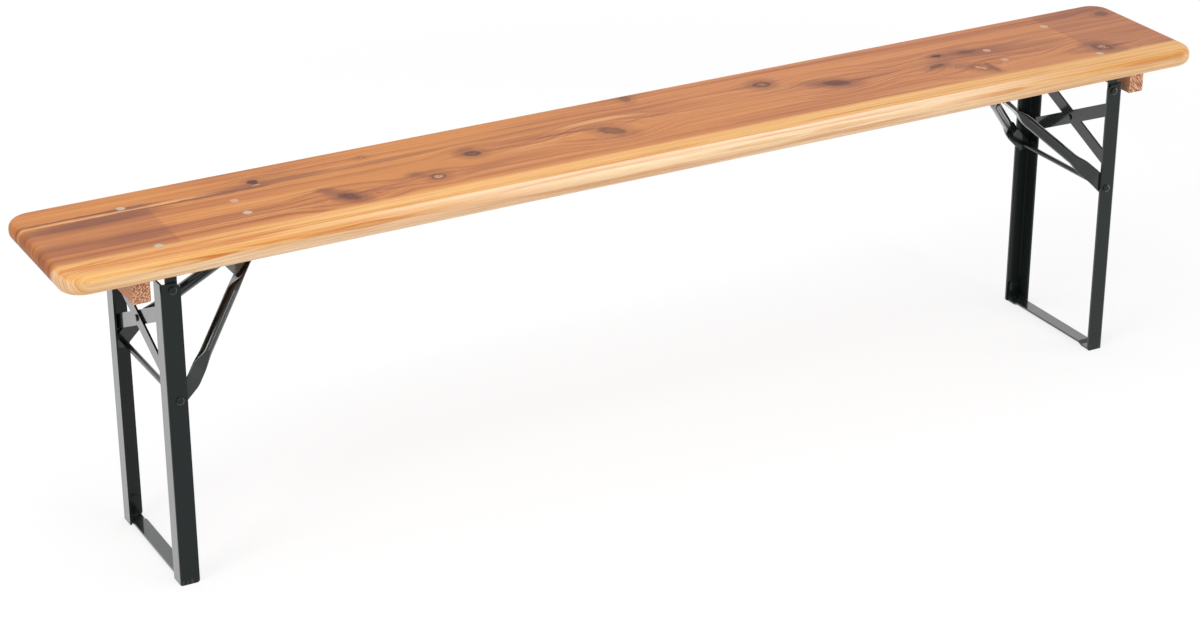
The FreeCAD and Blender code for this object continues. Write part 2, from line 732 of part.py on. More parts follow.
def make_strut():
    """A steel tube, its ends flattened: the lower on the leg, the upper on the yoke."""
    flat = size("strut_flat")
    lower_width = size("strut_flat_width")
    upper_width = size("strut_head_width")
    tube = size("strut_diameter")
    pivot = Vector(0, -at("strut_y"), 0)
    knee = pivot + X_AXIS * size("strut_lower_run")
    end = Vector(at("strut_reach") - size("strut_end_gap"), -size("strut_end_side"), 0)
    heading = (end - knee).normalize()
    sideways = Z_AXIS.cross(heading)
    turn = math.atan2(heading.y, heading.x)
    back_off = size("strut_bend") * math.tan(turn / 2)
    bend_start = knee - X_AXIS * back_off
    bend_end = knee + heading * back_off
    bend_centre = bend_start + Y_AXIS * size("strut_bend")

    section = Part.Face(tube_section(bend_start, X_AXIS, Z_AXIS, lower_width, flat))
    pieces = [
        Part.makeCylinder(lower_width / 2, flat, pivot - Y_AXIS * (flat / 2), Y_AXIS),
        tube_run(pivot, X_AXIS, Z_AXIS, lower_width, flat, bend_start.x),
        section.revolve(bend_centre, Z_AXIS, math.degrees(turn)),
        tube_run(bend_end, heading, Z_AXIS, lower_width, flat, size("strut_lower_flat"))]
    lower_taper = bend_end + heading * size("strut_lower_flat")
    pieces.append(tube_taper(lower_taper, heading, Z_AXIS, lower_width))
    round_start = lower_taper + heading * size("strut_taper")
    flat_start = end - heading * size("strut_upper_flat")
    round_end = flat_start - heading * size("strut_taper")
    round_length = (round_end - round_start).Length
    pieces.append(tube_run(round_start, heading, Z_AXIS, tube + ROUND_FLAT, tube, round_length))
    pieces.append(tube_taper(flat_start, -heading, sideways, upper_width))
    pieces.append(tube_run(flat_start, heading, sideways, upper_width, flat,
                           size("strut_upper_flat")))
    pieces.append(Part.makeCylinder(upper_width / 2, flat, end - Z_AXIS * (flat / 2), Z_AXIS))
    shape = pieces[0].multiFuse(pieces[1:])
    bore = Part.makeCylinder(tube / 2 - size("strut_wall"), round_length, round_start, heading)
    pivot_hole = Part.makeCylinder(size("rivet_shank") / 2 + size("running_gap"), 2 * flat,
                                   pivot - Y_AXIS * flat, Y_AXIS)
    rivet_hole = Part.makeCylinder(size("rivet_shank") / 2, 2 * flat, end - Z_AXIS * flat, Z_AXIS)
    strut = doc.addObject("Part::Feature", "near_strut")
    strut.Shape = shape.cut([bore, pivot_hole, rivet_hole]).removeSplitter()
    lean(strut)
    doc.recompute()
    return strut


def make_yoke():
    """The plate that joins the two struts and carries the catch pin."""
    body = new_body("yoke")
    tip = "At.strut_reach - Size.yoke_tip_gap"
    base = f"{tip} - Size.yoke_length"
    sketch = new_sketch(body, "XY_Plane", "-(Size.strut_flat / 2 + Size.yoke_wall)")
    draw_outline(sketch, [(base, "-Size.yoke_base_width / 2"), (tip, "-Size.yoke_tip_width / 2"),
                          (tip, "Size.yoke_tip_width / 2"), (base, "Size.yoke_base_width / 2")])
    pad(body, sketch, "Size.yoke_wall")
    base_x = at("strut_reach") - size("yoke_tip_gap") - size("yoke_length")
    dress(body, "Fillet", "Size.yoke_corner",
          lambda edge: runs_along(edge, Z_AXIS) and near(middle(edge).x, base_x))
    cope = new_sketch(body, "XZ_Plane")
    draw_circle(cope, "At.strut_reach", "0", "Size.catch_pin")
    cut_through(body, cope)
    holes = new_sketch(body, "XY_Plane")
    for hand in (-1, 1):
        draw_circle(holes, "At.strut_reach - Size.strut_end_gap",
                    f"{hand} * Size.strut_end_side", "Size.rivet_shank")
    cut_through(body, holes)
    lean(body)
    doc.recompute()
    return body


def make_yoke_rivets():
    """The rivets through the strut ends and the yoke."""
    body = new_body("yoke_rivet")
    sketch = new_sketch(body, "XZ_Plane")
    top = "Size.strut_flat / 2"
    under = "-(Size.strut_flat / 2 + Size.yoke_wall)"
    draw_outline(sketch, [("0", f"{under} - Size.yoke_rivet_height"),
                          ("Size.yoke_rivet_head / 2", f"{under} - Size.yoke_rivet_height"),
                          ("Size.yoke_rivet_head / 2", under),
                          ("Size.rivet_shank / 2", under),
                          ("Size.rivet_shank / 2", top),
                          ("Size.yoke_rivet_head / 2", top),
                          ("Size.yoke_rivet_head / 2", f"{top} + Size.yoke_rivet_height"),
                          ("0", f"{top} + Size.yoke_rivet_height")])
    revolve(body, sketch, "V_Axis")
    ends = (size("strut_flat") / 2 + size("yoke_rivet_height"),
            -size("strut_flat") / 2 - size("yoke_wall") - size("yoke_rivet_height"))
    dress(body, "Fillet", "Size.yoke_rivet_round",
          lambda edge: any(near(middle(edge).z, end) for end in ends))
    body.Placement = Placement(Vector(0, 0, 0), Rotation(Y_AXIS, STRUT_TURN))
    along = "(At.strut_reach - Size.strut_end_gap) * sqrt(0.5)"
    body.setExpression("Placement.Base.x", f"At.hinge_x - {along}")
    body.setExpression("Placement.Base.y", "-Size.strut_end_side")
    body.setExpression("Placement.Base.z", f"At.strut_z + {along}")
    return across_middle("yoke_rivets", body)


def make_catch_pin():
    """The pin at the struts' upper end that rests in the catch bracket."""
    body = new_body("catch_pin")
    sketch = new_sketch(body, "XZ_Plane")
    draw_circle(sketch, "At.catch_x", "At.hinge_z", "Size.catch_pin")
    pad(body, sketch, "Size.catch_pin_length", symmetric=True)
    dress(body, "Chamfer", "Size.catch_pin_bevel", lambda edge: isinstance(edge.Curve, Part.Circle))
    return body


HINGE_STACK = "Size.strap_wall"
CATCH_STACK = "(Size.catch_wall + Size.spring_wall)"

nodes.append(make_board())
add_both_ends("batten", make_batten())
add_both_ends("batten_screws", make_batten_screws())
add_both_ends("hinge_bracket", make_hinge_bracket())
add_both_ends("hinge_bolts", make_bolts("hinge_bolts", "At.hinge_x", "At.hinge_bolt_y", HINGE_STACK))
add_both_ends("hinge_nuts", make_nuts("hinge_nuts", "At.hinge_x", "At.hinge_bolt_y", HINGE_STACK))
add_both_ends("catch_bracket", make_catch_bracket())
add_both_ends("catch_spring", make_catch_spring())
add_both_ends("catch_bolts",
              make_bolts("catch_bolts", "At.catch_bolt_x", "At.catch_bolt_y", CATCH_STACK))
add_both_ends("catch_nuts",
              make_nuts("catch_nuts", "At.catch_bolt_x", "At.catch_bolt_y", CATCH_STACK))
near_leg = make_leg()
add_both_ends("near_leg", near_leg)
add_both_ends("far_leg", mirrored("far_leg", near_leg, Y_AXIS))
add_both_ends("foot_bar", make_foot_bar())
add_both_ends("outer_brace",
              make_brace("outer_brace", "At.flange_x - Size.brace_wall", "At.brace_y", 1))
add_both_ends("inner_brace",
              make_brace("inner_brace", "At.flange_x - 2 * Size.brace_wall", "At.flange_y", -1))
add_both_ends("brace_rivet", make_brace_rivet())
add_both_ends("hinge_rivets", make_hinge_rivets())
add_both_ends("cross_rod", make_cross_rod())
near_strut = make_strut()
add_both_ends("near_strut", near_strut)
add_both_ends("far_strut", mirrored("far_strut", near_strut, Y_AXIS))
add_both_ends("yoke", make_yoke())
add_both_ends("yoke_rivets", make_yoke_rivets())
add_both_ends("catch_pin", make_catch_pin())
doc.recompute()

for item in doc.Objects:
    if "Invalid" in item.State or "Error" in item.State:
        raise RuntimeError(f"{item.Label} failed: {item.State}")
os.makedirs("parts", exist_ok=True)
for node in nodes:
    if node.Shape.isNull() or not node.Shape.isValid():
        raise RuntimeError(f"{node.Label} has no valid shape")
    node.Shape.exportStep(f"parts/{node.Label}.step")
    print(f"{node.Label}: {len(node.Shape.Solids)} solids, {node.Shape.Volume / 1000:.2f} cm3")
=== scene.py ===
"""The looks of a folding bench: a lacquered softwood board on painted steel leg frames.

Metres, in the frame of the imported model: +X runs along the board to its right end, +Y to
its far side and +Z up from the floor.
"""
import math

import bmesh
import bpy
from bpy.props import FloatProperty, FloatVectorProperty, PointerProperty
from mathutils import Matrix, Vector


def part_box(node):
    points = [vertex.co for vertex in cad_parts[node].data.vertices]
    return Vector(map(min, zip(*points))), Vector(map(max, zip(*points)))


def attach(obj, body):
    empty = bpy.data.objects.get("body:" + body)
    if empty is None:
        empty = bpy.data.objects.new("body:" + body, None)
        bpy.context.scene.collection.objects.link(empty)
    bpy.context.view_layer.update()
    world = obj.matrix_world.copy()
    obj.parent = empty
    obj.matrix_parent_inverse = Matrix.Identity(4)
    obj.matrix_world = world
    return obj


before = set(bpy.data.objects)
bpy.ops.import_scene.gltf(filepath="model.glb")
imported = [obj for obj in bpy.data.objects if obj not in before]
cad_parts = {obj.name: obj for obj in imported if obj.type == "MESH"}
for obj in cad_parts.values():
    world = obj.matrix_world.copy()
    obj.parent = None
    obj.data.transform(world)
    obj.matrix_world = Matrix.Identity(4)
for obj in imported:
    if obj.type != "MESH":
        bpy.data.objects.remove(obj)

bl_info = {
    "name": "Folding bench finishes",
    "version": (1, 0, 0),
    "blender": (4, 5, 0),
    "location": "3D View > Sidebar > Bench",
    "description": "Finishes the folding bench and sets up its studio",
    "category": "Object",
}

SIDES = ("left", "right")
TOP_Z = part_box("seat_board")[1].z

# The piths that the board's rings run round: how far the heartwood's is beyond the middle
# line and below the top, how far the sapwood's is on the near side and below the top, how
# much closer the sapwood's rings are, and how close the arcs on the board's ends.
HEART_PITH_FAR = 0.200
HEART_PITH_DEPTH = 0.120
SAP_PITH_NEAR = 0.035
SAP_PITH_DEPTH = 0.050
SAP_RING_SCALE = 1.3
END_RING_SCALE = 1250.0

# Where soft changes on the board start and end: x where the sapwood narrows and by how much,
# y and depth of the pale round-over, which is pale sapwood with a painted highlight, the
# middle of that painted highlight and how it fades to both sides, depth of the painted floor
# bounce light on the face below it and x where that starts and fades, x where the heartwood
# turns rose, and y where the left end zone stops.
SAP_NARROWS_X = (0.35, 0.80)
SAP_NARROWS_BY = 0.007
ROUND_OVER_Y = (-0.103, -0.110)
ROUND_OVER_DEPTH = (-0.009, -0.002)
HIGHLIGHT_MIDDLE_X = 0.08
HIGHLIGHT_FADE = (0.72, 0.30)
BOUNCE_LIGHT_DEPTH = (-0.0035, -0.0105)
BOUNCE_LIGHT_STARTS_X = (-1.05, -0.62)
BOUNCE_LIGHT_FADES_X = (0.40, 0.70)
ROSE_X = (-0.40, 0.45)
ZONE_FAR_Y = (0.080, 0.055)

# The battens' pith, inward of and below their lower inner edge, and the width of a ring.
BATTEN_PITH_INWARD = 0.0235
BATTEN_PITH_BELOW = 0.022
BATTEN_RING_WIDTH = 0.0034

# Weld beads: height of a brace's sloping end and half the length of the bead on it, and how
# far a foot bar's bead stays inside the bar.
BRACE_END_HEIGHT = 0.0221
BRACE_BEAD_HALF = 0.0105
FOOT_BEAD_INSET = 0.003

# Tints that darken a finish where its noise is high.
PORE_TINT = (0.62, 0.50, 0.42)
END_EARLY_TINT = (1.0, 0.96, 0.92)
END_LATE_TINT = (0.70, 0.52, 0.36)
SMEAR_TINT = (0.80, 0.86, 0.86)
BLOOM_TINT = (0.72, 0.74, 0.70)
TEMPER_TINT = (0.80, 0.70, 0.62)

# Depths of the fine relief on the finishes.
WOOD_RELIEF = 0.00012
SAWN_RELIEF = 0.0005
ZINC_RELIEF = 0.00003
ROLLED_RELIEF = 0.00002

# The middle of a colour noise's three channels.
NOISE_MIDDLE = (0.5, 0.5, 0.5)

# How far the grain bends round a knot, along and across the board, in half sizes of the knot.
BEND_LENGTH = 6.5
BEND_WIDTH = 3.6

# Knots in the board: middle (x, y), half length, half width and turn of the core, how dark
# the core is and how soft its edge, how pale its heart is, how far the grain bends round it
# and how strong the dark halo round it is.
KNOTS = (
    (-0.566, 0.070, 0.0076, 0.0074, 0, 1.0, 0.28, 0.0, 0.75, 0.42),
    (-0.400, 0.083, 0.0050, 0.0036, 0, 0.45, 0.7, 0.8, 0.60, 0.30),
    (-0.472, -0.038, 0.0160, 0.0090, -52, 0.72, 0.9, 0.0, 0.85, 0.85),
    (-0.337, -0.032, 0.0100, 0.0088, 20, 0.60, 0.5, 1.0, 0.70, 0.55),
    (-0.259, 0.021, 0.0120, 0.0085, -12, 0.90, 0.6, 0.12, 0.65, 0.60),
    (-0.048, 0.004, 0.0190, 0.0115, -42, 0.66, 0.7, 0.10, 0.90, 0.50),
    (0.235, 0.060, 0.0115, 0.0110, 0, 0.72, 0.6, 0.35, 0.70, 0.55),
    (0.335, 0.013, 0.0185, 0.0100, -24, 0.75, 0.9, 0.0, 0.75, 0.70),
    (0.530, 0.038, 0.0080, 0.0050, 0, 1.0, 0.5, 0.0, 0.50, 0.60),
    (0.579, 0.032, 0.0120, 0.0060, -12, 0.50, 0.9, 0.0, 0.40, 0.60),
    (0.504, 0.001, 0.0125, 0.0050, 14, 0.80, 0.7, 0.15, 0.60, 0.60),
    (0.559, -0.035, 0.0165, 0.0085, -58, 0.30, 0.6, 1.0, 0.85, 0.55),
    (0.775, -0.049, 0.0165, 0.0115, -55, 0.60, 0.6, 0.60, 0.90, 0.70),
    (0.868, 0.075, 0.0100, 0.0080, 30, 0.55, 0.9, 0.0, 0.50, 0.50),
    (0.030, 0.106, 0.0120, 0.0070, 80, 0.45, 0.9, 0.0, 0.30, 0.40),
)

# Soft purple-brown stains in the heartwood: middle (x, y), half length, half width, turn
# and strength.
STAINS = (
    (-0.812, 0.0665, 0.160, 0.0032, 0.0, 1.6),
    (-0.800, 0.043, 0.130, 0.0220, 1.0, 1.05),
    (-0.745, 0.058, 0.055, 0.0180, 0.0, 0.90),
    (-0.690, 0.0525, 0.120, 0.0034, 0.0, 1.2),
    (-0.850, -0.014, 0.090, 0.0200, 0.0, 0.50),
    (-0.770, -0.022, 0.085, 0.0300, 0.0, 0.55),
    (-0.800, -0.025, 0.210, 0.0022, 0.0, 0.70),
    (-0.560, -0.0255, 0.180, 0.0018, -1.0, 0.65),
    (-0.610, 0.0550, 0.095, 0.0090, 1.0, 1.3),
    (-0.520, 0.0600, 0.130, 0.0130, -2.0, 0.70),
    (-0.380, 0.0570, 0.190, 0.0120, 1.0, 0.62),
    (-0.540, 0.0800, 0.060, 0.0160, 14.0, 0.35),
    (-0.210, 0.0600, 0.200, 0.0170, 0.0, 0.42),
    (0.000, 0.0570, 0.120, 0.0080, 2.0, 0.50),
    (-0.410, 0.0290, 0.080, 0.0080, 0.0, 0.25),
    (-0.493, -0.012, 0.024, 0.0150, -40.0, 0.75),
    (-0.500, -0.002, 0.085, 0.0030, -7.0, 0.50),
    (-0.420, -0.0330, 0.075, 0.0028, 4.0, 0.60),
    (-0.400, -0.0400, 0.060, 0.0026, -3.0, 0.45),
    (-0.362, -0.014, 0.024, 0.0170, -25.0, 0.70),
    (-0.345, -0.014, 0.070, 0.0110, 6.0, 0.40),
    (-0.272, -0.0330, 0.060, 0.0100, 5.0, 0.35),
    (-0.200, 0.0180, 0.060, 0.0030, -2.0, 0.65),
    (-0.265, 0.034, 0.030, 0.0100, 12.0, 0.50),
    (-0.120, 0.0215, 0.085, 0.0034, -8.0, 0.85),
    (0.025, 0.0210, 0.070, 0.0026, 10.0, 0.70),
    (-0.180, 0.0310, 0.080, 0.0070, 0.0, 0.35),
    (-0.200, -0.0280, 0.140, 0.0022, 0.0, 0.45),
    (-0.120, -0.0130, 0.150, 0.0060, 0.0, 0.22),
    (0.255, 0.0260, 0.120, 0.0026, -1.0, 0.70),
    (0.220, 0.0580, 0.050, 0.0180, 0.0, 0.35),
    (0.310, 0.0200, 0.070, 0.0150, -20.0, 0.55),
    (0.390, 0.0120, 0.085, 0.0028, 0.0, 0.75),
    (0.400, 0.0300, 0.140, 0.0036, 3.0, 0.50),
    (0.270, -0.0040, 0.110, 0.0040, 4.0, 0.30),
    (0.540, 0.0240, 0.070, 0.0320, 25.0, 0.55),
    (0.610, 0.0220, 0.120, 0.0260, 0.0, 0.65),
    (0.690, 0.0120, 0.090, 0.0230, 0.0, 0.50),
    (0.550, 0.0360, 0.060, 0.0110, -5.0, 0.60),
    (0.520, -0.010, 0.050, 0.0120, -32.0, 0.50),
    (0.460, 0.0010, 0.070, 0.0026, 6.0, 0.55),
    (0.576, -0.039, 0.008, 0.0180, -10.0, 0.85),
    (0.600, -0.0190, 0.060, 0.0028, 4.0, 0.70),
    (0.690, -0.0170, 0.120, 0.0022, -2.0, 0.65),
    (0.520, -0.0310, 0.045, 0.0024, 4.0, 0.50),
    (0.700, 0.0400, 0.130, 0.0030, 3.0, 0.45),
    (0.735, -0.0500, 0.050, 0.0120, -8.0, 0.45),
    (0.800, -0.0500, 0.060, 0.0026, 0.0, 0.80),
    (0.820, -0.0160, 0.110, 0.0030, 0.0, 0.45),
    (0.840, 0.0760, 0.060, 0.0026, 2.0, 0.40),
    (-0.640, -0.0550, 0.400, 0.0020, 0.0, 0.32),
    (0.050, -0.0560, 0.480, 0.0022, 0.0, 0.42),
    (0.300, -0.0560, 0.300, 0.0022, -0.3, 0.35),
    (0.020, 0.1100, 0.110, 0.0060, 0.0, 0.50),
)

# Pale grain: middle (x, y), half length, half width, turn and strength.
PALE_GRAIN = (
    (-0.800, 0.0585, 0.175, 0.0030, 0.0, 1.3),
    (-0.690, 0.0575, 0.090, 0.0026, 0.0, 1.0),
    (-0.5655, 0.0625, 0.0085, 0.0022, 0.0, 0.9),
    (-0.045, 0.0370, 0.090, 0.0120, 0.0, 0.75),
    (-0.160, 0.0090, 0.120, 0.0024, 2.0, 0.65),
    (0.090, 0.0150, 0.130, 0.0022, -2.0, 0.60),
    (-0.180, 0.0000, 0.070, 0.0090, 0.0, 0.40),
    (-0.580, 0.0050, 0.190, 0.0060, 0.0, 0.50),
    (-0.600, -0.0420, 0.200, 0.0050, 0.0, 0.45),
    (-0.590, -0.0160, 0.130, 0.0022, 0.0, 0.40),
    (-0.200, -0.0470, 0.250, 0.0060, 0.0, 0.40),
    (0.170, 0.0540, 0.090, 0.0018, -2.0, 0.55),
    (0.245, 0.0370, 0.110, 0.0040, 0.0, 0.30),
    (0.480, -0.0600, 0.260, 0.0090, 0.0, 0.35),
)

# Ochre late wood in the near sapwood strip: middle (x, y), half length, half width, turn
# and strength.
SAP_STREAKS = (
    (-0.790, -0.0915, 0.150, 0.0050, 0.5, 1.3),
    (-0.860, -0.0850, 0.070, 0.0034, 6.0, 1.0),
    (-0.740, -0.0870, 0.160, 0.0026, 1.0, 0.9),
    (-0.750, -0.1030, 0.170, 0.0046, -2.5, 1.4),
    (-0.800, -0.0990, 0.120, 0.0022, -3.0, 1.0),
    (-0.650, -0.1010, 0.100, 0.0066, 0.0, 1.0),
    (-0.770, -0.0980, 0.270, 0.0270, 0.0, 0.55),
    (-0.550, -0.0960, 0.200, 0.0026, -1.0, 0.6),
    (-0.400, -0.1010, 0.180, 0.0022, 0.0, 0.6),
    (-0.280, -0.0960, 0.150, 0.0030, 0.5, 0.6),
    (-0.120, -0.1020, 0.170, 0.0026, -0.5, 0.7),
    (-0.020, -0.0990, 0.100, 0.0022, 1.0, 0.6),
    (0.110, -0.1045, 0.130, 0.0016, 0.0, 0.9),
    (0.300, -0.0950, 0.160, 0.0024, 0.0, 0.5),
    (0.420, -0.1020, 0.180, 0.0016, 0.4, 0.6),
    (0.600, -0.0960, 0.200, 0.0024, -0.4, 0.5),
    (0.760, -0.1060, 0.120, 0.0022, 0.0, 0.6),
)

# The studio's soft lamps: name, place, what it faces, width, height and power in watts.
BENCH_MIDDLE = (0.0, 0.0, 0.35)
SOFTBOXES = (
    ("overhead_softbox", (-0.3, 0.0, 2.8), BENCH_MIDDLE, 3.0, 0.7, 22.0),
    ("left_softbox", (-2.85, -1.0, 2.2), BENCH_MIDDLE, 1.0, 1.2, 22.0),
    ("near_softbox", (-1.03, -0.96, 2.35), (-0.68, -0.08, 0.35), 0.45, 0.35, 6.0),
    ("front_softbox", (1.15, -2.04, 1.79), (0.65, -0.08, 0.36), 0.40, 0.40, 5.0),
    ("right_softbox", (3.0, -1.3, 0.65), BENCH_MIDDLE, 1.2, 1.0, 13.0),
)
WHITE = (1.0, 1.0, 1.0)
SURROUND_GREY = (0.66, 0.66, 0.67)
FLOOR_REACH = 14.0

# The floor's glow that only the camera and mirrors see: its strength, its share under the
# bench, where the soft shadow shows, how much more of it there is further out, and at which
# distances from the middle it changes.
GLOW_STRENGTH = 1.10
GLOW_SHARE_NEAR = 0.66
GLOW_SHARE_MORE = 0.30
GLOW_FADE = (1.5, 3.0)


def linear(red, green, blue):
    """A screen colour of 0 to 255 per channel as the linear colour that shaders use."""
    def decode(level):
        share = level / 255
        return share / 12.92 if share <= 0.04045 else ((share + 0.055) / 1.055) ** 2.4
    return decode(red), decode(green), decode(blue)


def colour_property(name, description, default):
    """A colour that the panel shows."""
    return FloatVectorProperty(name=name, description=description, default=default,
                               size=3, min=0.0, max=1.0, subtype="COLOR")


class Field:
    """A shader socket that Python's operators work on."""

    def __init__(self, finish, socket):
        self.finish = finish
        self.socket = socket

    def __add__(self, other):
        return self.finish.math("ADD", self, other)

    def __sub__(self, other):
        return self.finish.math("SUBTRACT", self, other)

    def __rsub__(self, other):
        return self.finish.math("SUBTRACT", other, self)

    def __mul__(self, other):
        return self.finish.math("MULTIPLY", self, other)

    def __truediv__(self, other):
        return self.finish.math("DIVIDE", self, other)

    __radd__ = __add__
    __rmul__ = __mul__


class Finish:
    """A material, and the nodes that it is made of."""

    def __init__(self, owner):
        owner.use_nodes = True
        self.owner = owner
        self.tree = owner.node_tree
        self.tree.nodes.clear()

    def node(self, kind, settings, inputs, output=0):
        """A node of any kind: its settings first, then the values or links of its sockets."""
        node = self.tree.nodes.new(kind)
        for name, value in settings.items():
            setattr(node, name, value)
        for name, value in inputs.items():
            socket = node.inputs[name]
            if isinstance(value, Field):
                self.tree.links.new(value.socket, socket)
            elif socket.type == "RGBA" and len(value) == 3:
                socket.default_value = (*value, 1.0)
            else:
                socket.default_value = value
        return Field(self, node.outputs[output]) if node.outputs else None

    def math(self, operation, *values):
        """One Math node."""
        return self.node("ShaderNodeMath", {"operation": operation}, dict(enumerate(values)))

    def vector(self, operation, *values):
        """One Vector Math node."""
        return self.node("ShaderNodeVectorMath", {"operation": operation},
                         dict(enumerate(values)))

    def mix(self, share, first, second):
        """From the first colour to the second."""
        return self.node("ShaderNodeMix", {"data_type": "RGBA", "clamp_factor": True},
                         {0: share, 6: first, 7: second}, 2)

    def multiply(self, share, first, second):
        """The first colour darkened by the second."""
        return self.node("ShaderNodeMix", {"data_type": "RGBA", "blend_type": "MULTIPLY",
                                           "clamp_factor": True},
                         {0: share, 6: first, 7: second}, 2)

    def smooth(self, value, start, end, high=1.0):
        """0 at start to high at end, with soft ends."""
        return self.node("ShaderNodeMapRange", {"interpolation_type": "SMOOTHSTEP"},
                         {"Value": value, "From Min": start, "From Max": end,
                          "To Max": high})

    def noise(self, place, scale, detail=2.0, roughness=0.5):
        """Soft random values round one half."""
        return self.node("ShaderNodeTexNoise", {"noise_dimensions": "3D"},
                         {"Vector": place, "Scale": scale, "Detail": detail,
                          "Roughness": roughness})

    def combine(self, x, y, z):
        """A place from three values."""
        return self.node("ShaderNodeCombineXYZ", {}, {0: x, 1: y, 2: z})

    def streaks(self, values, scales, detail=2.0, roughness=0.5):
        """Noise over three values, each with a scale of its own, which draws it out."""
        drawn = [value * scale for value, scale in zip(values, scales)]
        return self.noise(self.combine(*drawn), 1.0, detail, roughness)

    def place(self):
        """The place on the object as a vector and as its three values."""
        place = self.node("ShaderNodeTexCoord", {}, {}, "Object")
        return (place, *self.parts(place))

    def parts(self, vector):
        """The three values of a vector."""
        return [self.node("ShaderNodeSeparateXYZ", {}, {0: vector}, axis) for axis in "XYZ"]

    def facing(self):
        """The three values of the surface's normal."""
        return self.parts(self.node("ShaderNodeNewGeometry", {}, {}, "Normal"))

    def bump(self, height, distance, strength=1.0):
        """A normal from a height."""
        return self.node("ShaderNodeBump", {}, {"Height": height, "Distance": distance,
                                                "Strength": strength})

    def surface(self, inputs):
        """Ends the material in one shader."""
        shader = self.node("ShaderNodeBsdfPrincipled", {}, inputs)
        self.node("ShaderNodeOutputMaterial", {}, {"Surface": shader})
        return self.owner

    def distance(self, across, up):
        """How far a place is from a line or a middle, from its two offsets."""
        return self.math("SQRT", across * across + up * up)

    def ragged(self, place, scale, amount):
        """The place moved about by noise, so that outlines on it turn ragged."""
        scaled = self.vector("MULTIPLY", place, scale)
        drift = self.node("ShaderNodeTexNoise", {"noise_dimensions": "3D"},
                          {"Vector": scaled, "Scale": 1.0, "Detail": 3.0,
                           "Roughness": 0.6}, "Color")
        drift = self.vector("SUBTRACT", drift, NOISE_MIDDLE)
        drift = self.vector("MULTIPLY", drift, amount)
        return self.vector("ADD", place, drift)

    def ridge(self, value, half_width):
        """Thin lines where a noise value crosses one half."""
        return self.smooth(self.math("ABSOLUTE", value - 0.5), half_width, 0.0)


def new_finish(name):
    """An empty material."""
    return Finish(bpy.data.materials.new(name))


def give(material, *nodes):
    """Puts the material on CAD nodes."""
    for name in nodes:
        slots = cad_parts[name].data.materials
        slots.clear()
        slots.append(material)


def on_both_sides(*names):
    """The CAD nodes of these names on the left and on the right."""
    return [f"{side}_{name}" for side in SIDES for name in names]


def oval(finish, x, y, middle, half_sizes, turn):
    """The square of how far a place is out from the middle of a turned oval, 1 at its rim."""
    across, along = math.sin(math.radians(turn)), math.cos(math.radians(turn))
    total = None
    for share_x, share_y, half_size in ((along, across, half_sizes[0]),
                                        (-across, along, half_sizes[1])):
        start = -(middle[0] * share_x + middle[1] * share_y) / half_size
        for value, share in ((x, share_x), (y, share_y)):
            if abs(share) > 1e-6:
                start = finish.math("MULTIPLY_ADD", value, share / half_size, start)
        total = start * start if total is None else finish.math("MULTIPLY_ADD", start, start,
                                                                total)
    return total


def stains(finish, x, y, rows):
    """How strongly each soft streak covers a place, the strongest of them."""
    cover = None
    for middle_x, middle_y, length, width, turn, strength in rows:
        far = oval(finish, x, y, (middle_x, middle_y), (length, width), turn)
        stain = finish.math("MULTIPLY_ADD", far, -strength, strength)
        cover = stain if cover is None else finish.math("MAXIMUM", cover, stain)
    return finish.smooth(cover, 0.0, 1.0)


def knot_fields(finish, x, y):
    """The grain's shift, and the cores, pale hearts, rims and halos of all the knots."""
    shift = 0.0
    marks = [0.0, 0.0, 0.0, 0.0]
    for knot_x, knot_y, length, width, turn, dark, soft, pale, bend, halo in KNOTS:
        middle = (knot_x, knot_y)
        reach = max(length, width)
        near = oval(finish, x, y, middle, (BEND_LENGTH * reach, BEND_WIDTH * reach), 0)
        shift = (y - knot_y) * finish.smooth(near, 1.0, 0.0, bend) + shift
        far = oval(finish, x, y, middle, (length, width), turn)
        rim = finish.math("ABSOLUTE", far - 1.0)
        new = (finish.smooth(far, 1.0 + soft, 1.0 - soft, dark),
               finish.smooth(far, 0.60, 0.10, pale) if pale else None,
               finish.smooth(rim, 0.75, 0.0, 0.30 + 0.5 * dark),
               finish.smooth(far, 9.0, 0.4, halo))
        marks = [finish.math("MAXIMUM", old, latest) if latest else old
                 for old, latest in zip(marks, new)]
    return shift, *marks


class BoardLooks(bpy.types.PropertyGroup):
    """Colours and sizes of the board's wood and lacquer."""
    heart_light: colour_property("Heartwood", "Lacquered heartwood between the rings",
                                 linear(200, 128, 57))
    heart_gold: colour_property("Golden heartwood", "The yellowest streaks of the heartwood",
                                linear(220, 148, 70))
    heart_dark: colour_property("Heartwood rings", "Late wood of the heartwood's rings",
                                linear(152, 78, 34))
    heart_rose: colour_property("Rose heartwood", "The pinker wood towards the right end",
                                linear(201, 129, 75))
    streak: colour_property("Dark streaks", "Purple-brown streaks in the heartwood",
                            linear(104, 44, 28))
    heart_pale: colour_property("Pale grain", "The palest streaks of the heartwood",
                                linear(228, 170, 108))
    zone: colour_property("End zones", "Tint of the stained wood over the battens",
                          linear(230, 222, 234))
    sap_light: colour_property("Sapwood", "Pale sapwood of the near strip",
                               linear(232, 180, 108))
    # Also the colour of the painted highlight on the near round-over and of the painted floor
    # bounce light below it; on the board's ends it is the sapwood's own colour.
    sap_peach_and_light: colour_property("Edge sapwood", "The peach wood of the rounded near edge",
                               linear(251, 222, 184))
    sap_dark: colour_property("Sapwood rings", "Late wood of the sapwood's rings",
                              linear(196, 118, 44))
    knot_dark: colour_property("Knot", "The dark core of a knot", linear(58, 17, 8))
    knot_pale: colour_property("Knot heart", "The pale heart of a knot",
                               linear(216, 156, 116))
    sap_edge: FloatProperty(name="Sapwood edge", description="Where the near sapwood starts",
                            default=-0.0715, unit="LENGTH")
    zone_left: FloatProperty(name="Left zone", description="Inner edge of the left end zone",
                             default=-0.723, unit="LENGTH")
    zone_right: FloatProperty(name="Right zone", description="Inner edge of the right zone",
                              default=0.758, unit="LENGTH")
    lacquer: FloatProperty(name="Lacquer", description="Weight of the clear coat",
                           default=0.15, min=0.0, max=1.0, subtype="FACTOR")


